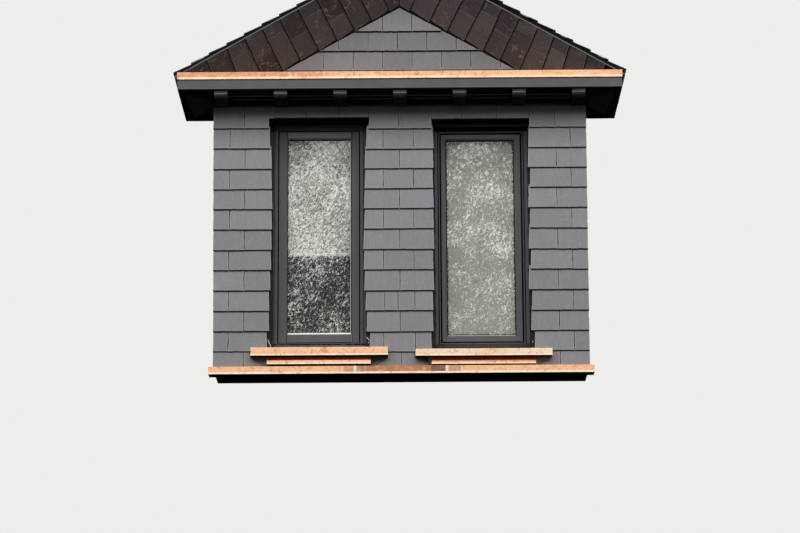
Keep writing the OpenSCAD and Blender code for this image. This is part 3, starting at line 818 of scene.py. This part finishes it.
def build_splay_slates(side, name):
    """The raking splay under a verge. u runs from the verge in to the gable and v up the rake."""
    rng = random.Random(31 + side)
    shape = Shape()
    deep, back = SPLAY_DROP - SPLAY_EDGE, FRONT - CLAD
    length = hypot(deep, back)
    ud, uy = deep / length, back / length
    up = Vector((-CP, 0, SP))
    origin = Vector((-SPLAY_EDGE * SP, -FRONT, RIDGE_Z - SPLAY_EDGE * CP))
    across = Vector((-SP * ud, uy, -CP * ud))
    face = Face(origin, across, up, (-SP * uy, -ud, -CP * uy), side < 0)
    # the copper top of the ledge and the mitre at the ridge, as lines in u and v
    fall = SHELF_RISE / FRONT
    ledge = SHELF_TOP + SHELF_RISE + fall * origin.y - origin.z + 1.5
    cuts = [(fall * across.y - across.z, -up.z, -ledge), (-across.x, -up.x, origin.x - 0.6)]
    rows = SPLAY_COURSES[side]
    for (tail, tail_in, shares), (head, head_in, _) in zip(rows, rows[1:]):

        def lifts(u):
            """How far the row's tail and head are moved at u."""
            return (tail_in - tail) * u / length, (head_in - head) * u / length

        def line_up(u, v):
            low, high = lifts(u)
            return u, v + low + (high - low) * ((v - tail) / (head - tail))

        def line_down(u, v):
            """The place that line_up moves to (u, v)."""
            low, high = lifts(u)
            return u, tail + (v - tail - low) / (1 + (high - low) / (head - tail))

        joints = [-3] + [length * share for share in shares] + [length + rng.uniform(-3, 1)]
        flat = []
        for ca, cb, cc in cuts:
            # each cut runs through two points of this row; the same line before the row is tilted
            (u0, v0), (u1, v1) = (line_down(u, (cc - ca * u) / cb) for u in (0, length))
            turn = 1 if cb > 0 else -1
            flat.append((-(v1 - v0) * turn, (u1 - u0) * turn, ((u1 - u0) * v0 - (v1 - v0) * u0) * turn))
        lay(shape, face, tail, head, joints, rng, 2.5, 8.5 / (head - tail), 5.5, (), flat, gap=4.2, under=12,
            skew=0.004, chips=0.3, least=10, flare=11, cut=(5, 4), warp=line_up)
    backing(shape, face, [(0, -RUN), (length - 6, -RUN), (length - 6, -120), (0, 20)], -12, -11)
    shape.build(name + "_splay_courses", [BROWN_SLATE[side], TRIM], [name + "_splay_slates"])


build_wall_slates()
build_gable_slates()
for side, name in SIDES:
    build_cheek_slates(side, name)
    build_roof_slates(side, name)
    build_splay_slates(side, name)
    build_verge(side, name)


# ----- copper work -----

def build_shelf():
    """The folded copper leaf and top of the cornice ledge, in three lapped lengths."""
    shape = Shape()
    for i, x0, x1 in lengths(-EAVE_HALF - 3, -520, 455, EAVE_HALF + 3):
        y = -FRONT - 5 - (i % 2) * 0.8
        # the hem's points are lighter, a painted highlight, and the underside darker, a painted shade
        leaf = [(-FRONT + 1, SHELF_TOP + 1.5), (y, SHELF_TOP), (y - 0.5, SHELF_Z + 17),
                (y - 1.6, SHELF_Z + 14, 0.74), (y - 2.8, SHELF_Z + 1, 0.78), (y - 1.5, SHELF_Z - 1, 0.6),
                (y + 2.5, SHELF_Z, 0.2), (-FRONT, SHELF_Z + 4, 0.2)]
        section(shape, leaf, x0 - (2 if i else 0), x1, 0.7, 40, (0.17, 0.35, 0.44)[i], 3.1 * i)
    first = len(shape.verts)
    front, rear = SHELF_TOP + 0.6, SHELF_TOP + SHELF_RISE
    top = [(-FRONT + 1, front - 2.6), (-FRONT + 1, front), (-1, rear), (-1, rear - 3)]
    for i, x0, x1 in lengths(22 - EAVE_HALF, -480, 470, EAVE_HALF - 22):
        section(shape, top, x0, x1 + 3, 0.6, 60, seed=2.0 + i)
    for i in range(first, len(shape.verts)):
        # the top stops under the slopes of the roof
        x, y, z = shape.verts[i]
        reach = (RIDGE_Z - 26 - z) / TP
        shape.verts[i] = (max(-reach, min(reach, x)), y, z)
    shape.build("ledge_copper_sheet", [COPPER], ["ledge_copper"], 0.8)


def solder_strip(proud, high):
    """The section of a strip that stands proud of the foot ledge's face and laps over its upper edge."""
    y = -LEDGE_OUT
    return [(y - proud, 13), (y - proud - 0.4, 30), (y - proud + 0.4, high - 2.6), (y + 4, high),
            (y + 4, high - 4), (y + 1, 14)]


def build_foot_ledge():
    """The copper ledge at the foot: two bright lengths, a dull one between them and soldered joints."""
    shape = Shape()
    solder = Shape()
    joints = [-BODY_HALF - CLAD, -308, 305, BODY_HALF + CLAD]
    y = -LEDGE_OUT
    # the hem's points are lighter, a painted highlight
    leaf = [(0, 0.5), (0, LEDGE_HIGH), (-CLAD - 2, LEDGE_HIGH + 5), (y + 1, LEDGE_HIGH + 3),
            (y, LEDGE_HIGH + 1), (y - 0.5, 15), (y - 2, 12, 1.0), (y - 3, 1.5, 1.0), (y - 1, 0.5, 0.7)]
    for i, x0, x1 in lengths(*joints):
        section(shape, leaf, x0, x1, 0.6, 40, 0.0 if i == 1 else 0.5, 5 + 1.7 * i)
    for x in joints[1:3]:
        section(solder, solder_strip(2.2, LEDGE_HIGH + 4.6), x - 9, x + 9, 0.9, 2.8, seed=x)
    for x0, x1, kind in ((-385, -319, 1), (-298, -272, 1), (198, 294, 2), (316, 396, 1)):
        section(solder, solder_strip(1.2, LEDGE_HIGH + 3.6), x0, x1, 0.7, 6, seed=x0, mats=kind)
    shape.build("foot_ledge_copper", [COPPER], ["foot_ledge"], 0.8)
    solder.build("solder_joints", [SOLDER, SMEAR, COPPER_DULL], bevel=0.6)


# how much higher than even sizes the upper edge, the hem, the part below and its foot are seen, left and right
SILL_SHIFTS = {-1: (4, 3, 3.5, 9), 1: (-12, -5, -4, 4)}
SILL_TONES = {-1: (0.62, 0.46), 1: (0.86, 0.7)}
# on the right, the sub-sill's face darkens towards its top, a painted shade under the sill
SUB_TONES = {-1: (0.6, 0.6, 0.6), 1: (0.0, 0.15, 0.6)}


def sill_top(y):
    return SILL_Z + 56 + 20 * (y + SILL_OUT) / 202


def build_sill(side, name):
    shape = Shape()
    cx = side * WIN_X
    up, hem, sub_up, sub_low = SILL_SHIFTS[side]
    y, z = -SILL_OUT, SILL_Z + hem
    top = sill_top(y) + up
    t0, t1 = SILL_TONES[side]
    # the hem's points are lighter, a painted highlight, and the underside's points darker, a painted shade
    horn = [(-1, z + 1, 0.3), (-1, sill_top(0) + up), (y + 1.5, top, t0), (y, top - 1.5, t0),
            (y - 0.6, z + 12, t1), (y - 2, z + 9.5, 1.0), (y - 2.8, z + 1, 1.0), (y - 1, z - 0.5, 0.8),
            (y + 3, z + 1, 0.3)]
    section(shape, horn, cx - SILL_HALF, cx + SILL_HALF + (7 if side < 0 else 2), 0.7, 40, seed=side + 9,
            mats=[0] * 7 + [2, 2])
    inner = [(-1.5, sill_top(-1.5) + up), (120, FRAME_LOW), (200, FRAME_LOW), (200, z + 1), (-1.5, z + 1)]
    section(shape, inner, cx - 331, cx + 331, tone=0.35, seed=side + 11)
    y, z = -SUB_OUT, SUB_Z + sub_low
    t0, t1, t2 = SUB_TONES[side]
    face_top = SUB_Z + 31 + sub_up
    # the hem's points are lighter, a painted highlight
    sub = [(-1, z), (-1, SILL_Z + 1), (y + 28, SILL_Z + 1), (y + 24, face_top + 5), (y + 1, face_top + 2, t0),
           (y, face_top, t1), (y - 0.4, z + 11, t2), (y - 1.8, z + 9, 1.0), (y - 2.6, z + 1, 1.0),
           (y - 1, z - 0.5, 0.8)]
    section(shape, sub, cx - SUB_HALF, cx + SUB_HALF, 0.7, 40, 0.3, side + 15, [0, 1, 1] + [0] * 5 + [2, 2])
    shape.build(name + "_sill_copper", [COPPER, COPPER_TARNISH_AND_REFLECTION, COPPER_SHADE], [name + "_sill"], 0.8)


def build_ridge_cap():
    """Three lapped lengths of copper with a wing on each slope and a roll along the ridge."""
    shape = Shape()
    for i, y0, y1 in lengths(-FRONT - 4, 40, 420, 745):
        z0 = RIDGE_Z + (5.5 if i == 1 else 4)
        half = [(CP * 122, z0 - SP * 122 + 1), (CP * 121 + 1.5, z0 - SP * 121 + 5), (16, z0 - 16 * TP + 5)]
        for a in (-20, 10, 40, 70):
            half.append((12.5 * cos(radians(a)), z0 + 10 + 12.5 * sin(radians(a))))
        under = [(CP * 60, z0 - SP * 60 + 0.5), (0, z0 + 0.5), (-CP * 60, z0 - SP * 60 + 0.5)]
        pts = [(-x, z) for x, z in half] + half[::-1] + under
        back = [(x, min(y1 + 12, cut_y(z) - 1), z) for x, z in pts]
        shape.loft([[(x, y0, z) for x, z in pts], back], 0.45, 30.0 + i, flip=True)
    shape.build("ridge_cap_copper", [COPPER], ["ridge_cap"], 0.6)


build_shelf()
build_foot_ledge()
build_ridge_cap()
for side, name in SIDES:
    build_sill(side, name)


# ----- windows -----

# sections of the frames and the sashes, from the outline that each point is measured from
FRAME_PROFILES = {
    -1: [("o", 0, 128), ("i", 24, 128), ("i", 21.5, 121), ("i", 20, 120), ("i", 2.5, 120), ("i", 0, 124),
         ("i", 0, 176), ("o", 0, 176)],
    1: [("o", 0, 126), ("i", 14, 126), ("i", 13, 140), ("i", 8, 140), ("i", 7.5, 121), ("i", 6.5, 120),
        ("i", 1.5, 120), ("i", 0, 124), ("i", 0, 176), ("o", 0, 176)]}
SASH_PROFILES = {
    s: [("o", 0, 150), ("o", gap, 150), ("o", gap + 0.7, 133), ("o", gap + 2, 132), ("i", 9, 132),
        ("i", 7, 136), ("i", 3, 139), ("i", 0, 144), ("i", 0, 172), ("o", 0, 172)]
    for s, gap in ((-1, 6), (1, 9))}
# outlines (x0, x1, z0, z1) of the sashes and of their panes, as the photograph shows them
SASHES = {-1: (-841, -278.4, 258, 1760.2), 1: (269.5, 834.5, 254, 1736)}
PANES = {-1: (-776.4, -337.1, 324, 1700.5), 1: (311.8, 780.7, 306, 1688)}
GASKETS = {-1: (4, -4, 0.2, -6), 1: (5.5, -4.5, 0.2, -7)}  # how far the black edges reach over the panes
# the bead's brightness is a painted highlight
BEAD_TALL = {-1: 10, 1: 5}  # the bright bead at a pane's foot
BEAD_AT = (146.4, 148.8)  # depth of the beads before a pane, and of the spacer behind it
SPACER_AT = (155.3, 162)
# the black rings in the grooves around a sash paint the shade there
GROOVES = {-1: (6, 0), 1: (10, 14.5)}  # black grooves: width inside the sash's outline, reach outside it


def grown(outline, d):
    """The outline (x0, x1, z0, z1) moved outwards."""
    return [c + s * d for c, s in zip(outline, (-1, 1, -1, 1))]


def flat_profile(y0, y1):
    return [("o", 0, y0), ("i", 0, y0), ("i", 0, y1), ("o", 0, y1)]


def build_left_sash():
    """A sash whose stiles run through, with the rails between them."""
    shape = Shape()
    outer, inner = SASHES[-1], PANES[-1]
    for k, sign in enumerate((-1, 1, -1, 1)):
        # the section, measured along X (stiles) or Z (rails) at outline number k
        pts = [((inner[k] + sign * d if line == "i" else outer[k] - sign * d), y)
               for line, d, y in SASH_PROFILES[-1]]
        if k < 2:
            ends = [[(x, y, z) for x, y in pts] for z in (outer[2] + 4, outer[3] - 4)]
            shape.loft(ends, 0.5, sign, flip=sign < 0)
        else:
            rail = [(y, z) for z, y in pts][::-sign]
            # the top rail takes material 1, the painted light
            section(shape, rail, inner[0] + 1.2, inner[1] - 1.2, seed=k, mats=int(sign > 0))
    shape.build("left_sash_wood", [DARK_PAINT, HEAD_RAIL_LIGHT], ["left_sash"], 0.8)


def build_pane(side, name):
    """A pane of old glass, very slightly uneven on both faces."""
    x0, x1, z0, z1 = grown(PANES[side], -0.2)
    nx, nz = 14, 40
    shape = Shape()
    verts = []
    for y, swell in ((149, 0.25), (155, -0.25)):
        for j in range(nz + 1):
            for i in range(nx + 1):
                x, z = x0 + (x1 - x0) * i / nx, z0 + (z1 - z0) * j / nz
                inside = 0 < i < nx and 0 < j < nz
                verts.append((x, y + inside * swell * noise.noise(Vector((x * 0.01, y, z * 0.01))), z))
    row, layer = nx + 1, (nx + 1) * (nz + 1)
    faces = grid(nx, nz)
    faces += [[layer + f[k] for k in (0, 3, 2, 1)] for f in faces]
    rim = list(range(nx)) + [nx + row * j for j in range(nz)] + [layer - 1 - i for i in range(nx)]
    rim += [row * (nz - j) for j in range(nz)]
    faces += [[b, a, layer + a, layer + b] for a, b in zip(rim, rim[1:] + rim[:1])]
    shape.add(verts, faces)
    shape.build(name + "_pane", [GLASS[side]], [name + "_glass"], smooth=True)


def build_windows():
    for side, name in SIDES:
        cx = side * WIN_X
        sash, pane = SASHES[side], PANES[side]
        opening = (cx - WIN_HALF, cx + WIN_HALF, FRAME_LOW, HEAD_Z)
        shape = Shape()
        ring(shape, grown(sash, 0.4), opening, FRAME_PROFILES[side])
        shape.build(name + "_frame_wood", [DARK_PAINT], [name + "_frame"], 0.8)
        if side > 0:
            shape = Shape()
            ring(shape, pane, sash, SASH_PROFILES[1])
            shape.build("right_sash_wood", [DARK_PAINT], ["right_sash"], 0.8)
        build_pane(side, name)
        shape = Shape()
        ring(shape, [c + d for c, d in zip(pane, GASKETS[side])], pane, flat_profile(145, 148.8))
        wide, reach = GROOVES[side]
        ring(shape, grown(sash, -wide), sash, flat_profile(137, 149.9))
        if reach:
            ring(shape, grown(sash, 7.5), grown(sash, reach), flat_profile(125.8, 139.9))
            # a black strip under the head, a painted shadow
            box(shape, cx - 317, cx + 317, 118.4, 119.6, sash[3] + 14, sash[3] + 40)
        shape.build(name + "_gasket", [BLACK])
        shape = Shape()
        # the bars round a pane: bright at its foot, grey up the left pane's right side and black at its left
        # and top, painted highlight and painted shade
        x0, x1, z0, z1 = pane
        low = z0 + BEAD_TALL[side]
        box(shape, x0 + 1, x1 - 1, *BEAD_AT, z0 + 0.5, low, 0 if side < 0 else 2)
        if side < 0:
            box(shape, x1 - 9, x1 - 4.5, *BEAD_AT, low, z1 - 8, 2)
        box(shape, x0 + 2, x0 + 6, *SPACER_AT, low, z1 - 2, 1)
        box(shape, x0 + 6, x1 - 8.5, *SPACER_AT, z1 - 6, z1 - 2, 1)
        shape.build(name + "_spacer", [SPACER, BLACK, BEAD], bevel=0.4)


BLIND_Y = 188
BLIND_RUN = 1596
CLOTH_WIDE = 612


def oval(y, z, wide, tall, step):
    """Half its width and height, as a section for a bar along X."""
    around = [radians(d) for d in range(0, 360, step)]
    return [(y + wide * cos(a), z + tall * sin(a)) for a in around][::-1]


def build_blind(side, name, drawn):
    """A roller blind: its tube under the head, the hanging cloth and the bar at its foot."""
    cx = side * WIN_X
    low = HEAD_Z - BLIND_RUN * drawn
    case = Shape()
    section(case, oval(BLIND_Y, HEAD_Z - 15, 10.5, 14, 24), cx - 314, cx + 314)
    tube = case.build(name + "_blind_case", [BLIND_BAR], bevel=0.5)
    bar = Shape()
    section(bar, oval(BLIND_Y, low + 12, 3.9, 12, 30), cx - 308, cx + 308)
    foot = bar.build(name + "_blind_bar", [BLIND_BAR], bevel=0.5)
    cloth = Shape()
    z0, z1, nx, nz = low + 18, HEAD_Z - 20, 40, 60
    verts = []
    for j in range(nz + 1):
        ease = sin(pi * j / nz)
        for i in range(nx + 1):
            x, z = cx - CLOTH_WIDE / 2 + CLOTH_WIDE * i / nx, z0 + (z1 - z0) * j / nz
            verts.append((x, BLIND_Y + noise.noise(Vector((x * 0.006, z * 0.0015, side))) * 2.4 * ease, z))
    cloth.add(verts, grid(nx, nz))
    sheet = cloth.build(name + "_blind_cloth", [CLOTH], [name + "_blind"], smooth=True)
    thick = sheet.modifiers.new("thickness", "SOLIDIFY")
    thick.thickness = 0.0007
    thick.offset = 0


build_left_sash()
build_windows()
build_blind(-1, "left", 0.576)
build_blind(1, "right", 0.935)


# ----- boards and trim -----

# above this height the black of the felt is a painted shade
FELT_SHADED_ABOVE = 1715  # the felt is black above this height
FELT_LOW = 196
FELT_IN, FELT_OUT = 318, 372  # its edges, from the window's middle
MEMBRANE_TOP = {-1: 245, 1: 246}


def build_reveal_felt():
    """The ragged black strips on the wall around each opening, seen where the slates are held back, black near
    the head as painted shade, and dark patches that paint the shadow under the tails beside a window."""
    rng = random.Random(41)
    shape = Shape()

    def sheet(side, s, poly, y0, y1, kind=0):
        rings = [[(side * WIN_X + s * u, y, z) for u, z in poly] for y in (y0, y1)]
        shape.loft(rings, 0.5, side + s * 0.3, kind, s < 0)

    for side in (-1, 1):
        for s in (-1, 1):
            edge = []
            z = FELT_LOW
            while z < FELT_SHADED_ABOVE:
                edge.append((FELT_IN + rng.uniform(-3.5, 2.5), z))
                z += rng.uniform(14, 40)
            edge += [(FELT_IN, FELT_SHADED_ABOVE), (FELT_OUT, FELT_SHADED_ABOVE), (FELT_OUT, FELT_LOW)]
            sheet(side, s, edge, -3.4, -0.3)
            near, top = FELT_IN - 1, HEAD_Z + 20
            dark = [(near, FELT_SHADED_ABOVE), (near, top), (FELT_OUT, top), (FELT_OUT, FELT_SHADED_ABOVE)]
            sheet(side, s, dark, -3.2, -0.3, 2)
            # dark patches under the tails beside the opening, a painted shadow
            for k in range(1, 12):
                z, u = course(k), edge_half(k - 1, int(side > 0), int(s > 0)) + SLANT / 2
                reach = rng.uniform(24, 36)
                slot = [(u - 11, z - reach), (u - 7, z - reach - 2), (u + 3, z + 2), (u - 5, z + 3)]
                sheet(side, s, slot, -9, -3.5, 1)
        # a black strip along the head, a painted shade
        head = [(-330, HEAD_Z + 26), (330, HEAD_Z + 26), (330, HEAD_Z - 3), (-330, HEAD_Z - 3)]
        sheet(side, 1, head, -3.2, -0.3, 2)
        # the membrane turned up in front of the frame's foot
        top = MEMBRANE_TOP[side]
        ragged = [(316 - 18 * i, top + rng.uniform(-4, 3)) for i in range(36)]
        foot = [(-316, FRAME_LOW - 4), (316, FRAME_LOW - 4)]
        sheet(side, 1, (foot + ragged)[::-1], 117, 118.4, 3 if side < 0 else 4)
        if side < 0:
            # a black sheet behind the membrane's top, a painted shadow line at the frame's foot
            shade = [(-316, top + 7), (-316, FRAME_LOW), (316, FRAME_LOW), (316, top + 7)]
            sheet(side, 1, shade, 118.6, 119.6, 2)
    shape.build("reveal_felt", [FELT, SLOT_SHADOW, BLACK, *MEMBRANES])


def build_sealant():
    """Dabs of sealant on the felt in the lower corners of the openings."""
    rng = random.Random(43)
    shape = Shape()
    # x, z, half the width, the height for each unit of it, and the lean
    dabs = [(-888, 234, 3.4, 7.8, -0.45), (-880, 205, 3, 2.4, -0.3), (-223, 258, 3.2, 5, -0.75),
            (-219, 232, 2.6, 2, -0.2), (-221, 382, 2.2, 2, 0), (884, 232, 2.4, 2.4, 0)]
    rows, cols, y = 5, 8, -4
    for x, z, r, tall, lean in dabs:
        verts = [(x + lean * r * tall, y, z + r * tall)]
        for j in range(1, rows):
            for i in range(cols):
                a, b = 2 * pi * i / cols, pi * j / rows
                k = r * rng.uniform(0.7, 1.3)
                up, out = r * tall * cos(b), k * sin(b)
                verts.append((x + lean * up + out * cos(a), y + 0.6 * out * sin(a), z + up))
        verts.append((x - lean * r * tall, y, z - r * tall))
        faces = [[0, 1 + i, 1 + (i + 1) % cols] for i in range(cols)]
        for j in range(rows - 2):
            b = 1 + j * cols
            faces += [[b + i, b + cols + i, b + cols + (i + 1) % cols, b + (i + 1) % cols] for i in range(cols)]
        b, last = 1 + (rows - 2) * cols, len(verts) - 1
        faces += [[b + i, last, b + (i + 1) % cols] for i in range(cols)]
        shape.add(verts, faces, 0.5, x)
    shape.build("sealant_dabs", [SEALANT], smooth=True)


BRACKET_PITCH = 405
BRACKET_HALF = 45


def build_eave_trim():
    """Beads under the soffit between the brackets, and the drip edge of the fascia."""
    shape = Shape()
    for i in range(-3, 3):
        x0, x1 = i * BRACKET_PITCH + BRACKET_HALF + 0.5, (i + 1) * BRACKET_PITCH - BRACKET_HALF - 0.5
        for y in (-138, -63):
            bead = [(y + out, SOFFIT_Z - down) for out, down in ((-7, 0), (7, 0), (5, 4), (0, 6), (-5, 4))]
            section(shape, bead, x0, x1)
    box(shape, -EAVE_HALF, EAVE_HALF, -FRONT - 1.6, -FRONT, SOFFIT_Z + 0.5, SOFFIT_Z + 5)
    shape.build("eave_trim", [BEAD_PAINT], bevel=0.5)


build_eave_trim()
build_reveal_felt()
build_sealant()


# ----- finish of the frame's own nodes -----

FINISH = {
    TIMBER: ["sole_plate", "gable_wall", "ridge_board", "left_rafters", "right_rafters", "left_deck",
             "right_deck", "ledge_core"],
    FELT: ["left_splay_boards", "right_splay_boards"],
    PLASTER: ["front_wall", "left_cheek", "right_cheek", "ceiling"],
    EAVE_PAINT: ["front_fascia"],
    BRACKET_PAINT: ["brackets"],
    SOFFIT_SHADE: ["front_soffit", "left_eave", "right_eave", "window_linings"],
    BED_PAINT: ["bed_mould"],
    COPPER: ["left_valley", "right_valley"],
}
for material, names in FINISH.items():
    for n in names:
        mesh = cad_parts[n].data
        mesh.materials.clear()
        mesh.materials.append(material)
        round_edges(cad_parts[n], 1.5)


# ----- camera, floor and light -----

# sines of the heights between which the dome's light fades in, and its strength in front and behind
DOME_EDGE = (sin(radians(12)), sin(radians(16)))
DOME_FRONT = 0.38
DOME_BACK = 1.0
DOME_LOW = 0.45  # the share that is left near the horizon


PALE_RAYS = ("Camera", "Glossy", "Transmission")  # the rays that see the pale background


def build_camera():
    right = Vector((cos(CAM_YAW), -sin(CAM_YAW), 0))
    ahead = Vector((sin(CAM_YAW) * cos(CAM_PITCH), cos(CAM_YAW) * cos(CAM_PITCH), sin(CAM_PITCH)))
    up = right.cross(ahead)
    x = right * cos(CAM_ROLL) - up * sin(CAM_ROLL)
    y = right * sin(CAM_ROLL) + up * cos(CAM_ROLL)
    matrix = Matrix((x, y, -ahead)).transposed().to_4x4()
    matrix.translation = Vector(CAM_AT)
    data = bpy.data.cameras.new("camera")
    data.lens = LENS
    data.sensor_width = 36
    data.clip_end = 200
    camera = new_object("camera", data)
    camera.matrix_world = matrix
    bpy.context.scene.camera = camera


def card(name, corners, colour):
    """A flat piece of the stage and its paint."""
    mesh = bpy.data.meshes.new(name)
    mesh.from_pydata(corners, [], [[0, 1, 2, 3]])
    m = Paint(name, 0.9, shine=0.0)
    m.set({"Base Color": (*colour, 1)})
    mesh.materials.append(m.mat)
    return new_object(name, mesh), m


def build_floor():
    """A pale floor at the foot. It can't be seen from below, and sends little light up into the soffits."""
    floor, m = card("floor", [(-40, -40, 0), (40, -40, 0), (40, 40, 0), (-40, 40, 0)], rgb(205, 205, 203))
    shown = m.blend(m.rays(*PALE_RAYS), m.matt((0.03, 0.03, 0.03)), m.bsdf.outputs[0])
    behind = m.add("ShaderNodeNewGeometry").outputs["Backfacing"]
    m.show(m.blend(behind, shown, m.clear()))


def build_world():
    """A soft dome, dark near the horizon, which gives more from behind, where the softbox doesn't reach."""
    world = bpy.data.worlds.new("world")
    m = Nodes(world)
    parts = m.split(m.add("ShaderNodeTexCoord").outputs["Generated"])
    height = m.ramp(parts["Z"], *DOME_EDGE, DOME_LOW, 1.0)
    strength = m.math("MULTIPLY", height, m.ramp(parts["Y"], -0.4, 0.4, DOME_FRONT, DOME_BACK))
    soft = m.nodes["Background"]
    m.put((1, 1, 1, 1), soft.inputs["Color"])
    m.put(strength, soft.inputs["Strength"])
    pale = m.add("ShaderNodeBackground", {"Color": (*rgb(238, 238, 236), 1), "Strength": 1.0})
    mixed = m.blend(m.rays(*PALE_RAYS), soft.outputs[0], pale.outputs[0])
    m.put(mixed, m.nodes["World Output"].inputs["Surface"])
    bpy.context.scene.world = world


def build_softbox():
    """One wide soft light in front of the dormer and above it."""
    data = bpy.data.lights.new("front_softbox", "AREA")
    data.shape = "RECTANGLE"
    data.size, data.size_y, data.energy = 36, 13.5, 5880
    lamp = new_object("front_softbox", data)
    lamp.location = (0, -13.5, 12.3)
    lamp.rotation_euler = (pi / 2, 0, 0)
    lamp.visible_camera = lamp.visible_glossy = lamp.visible_transmission = False


def build_flag():
    """A black studio card behind the open back, seen through the glass alone, as a dark room would be."""
    corners = [(-1.12, 0.8, 0.1), (1.12, 0.8, 0.1), (1.12, 0.8, 1.9), (-1.12, 0.8, 1.9)]
    flag, _ = card("flag", corners, (0.02, 0.02, 0.02))
    flag.visible_camera = flag.visible_diffuse = flag.visible_glossy = flag.visible_shadow = False


build_camera()
build_floor()
build_world()
build_flag()
build_softbox()
bpy.context.scene.view_settings.view_transform = "Standard"
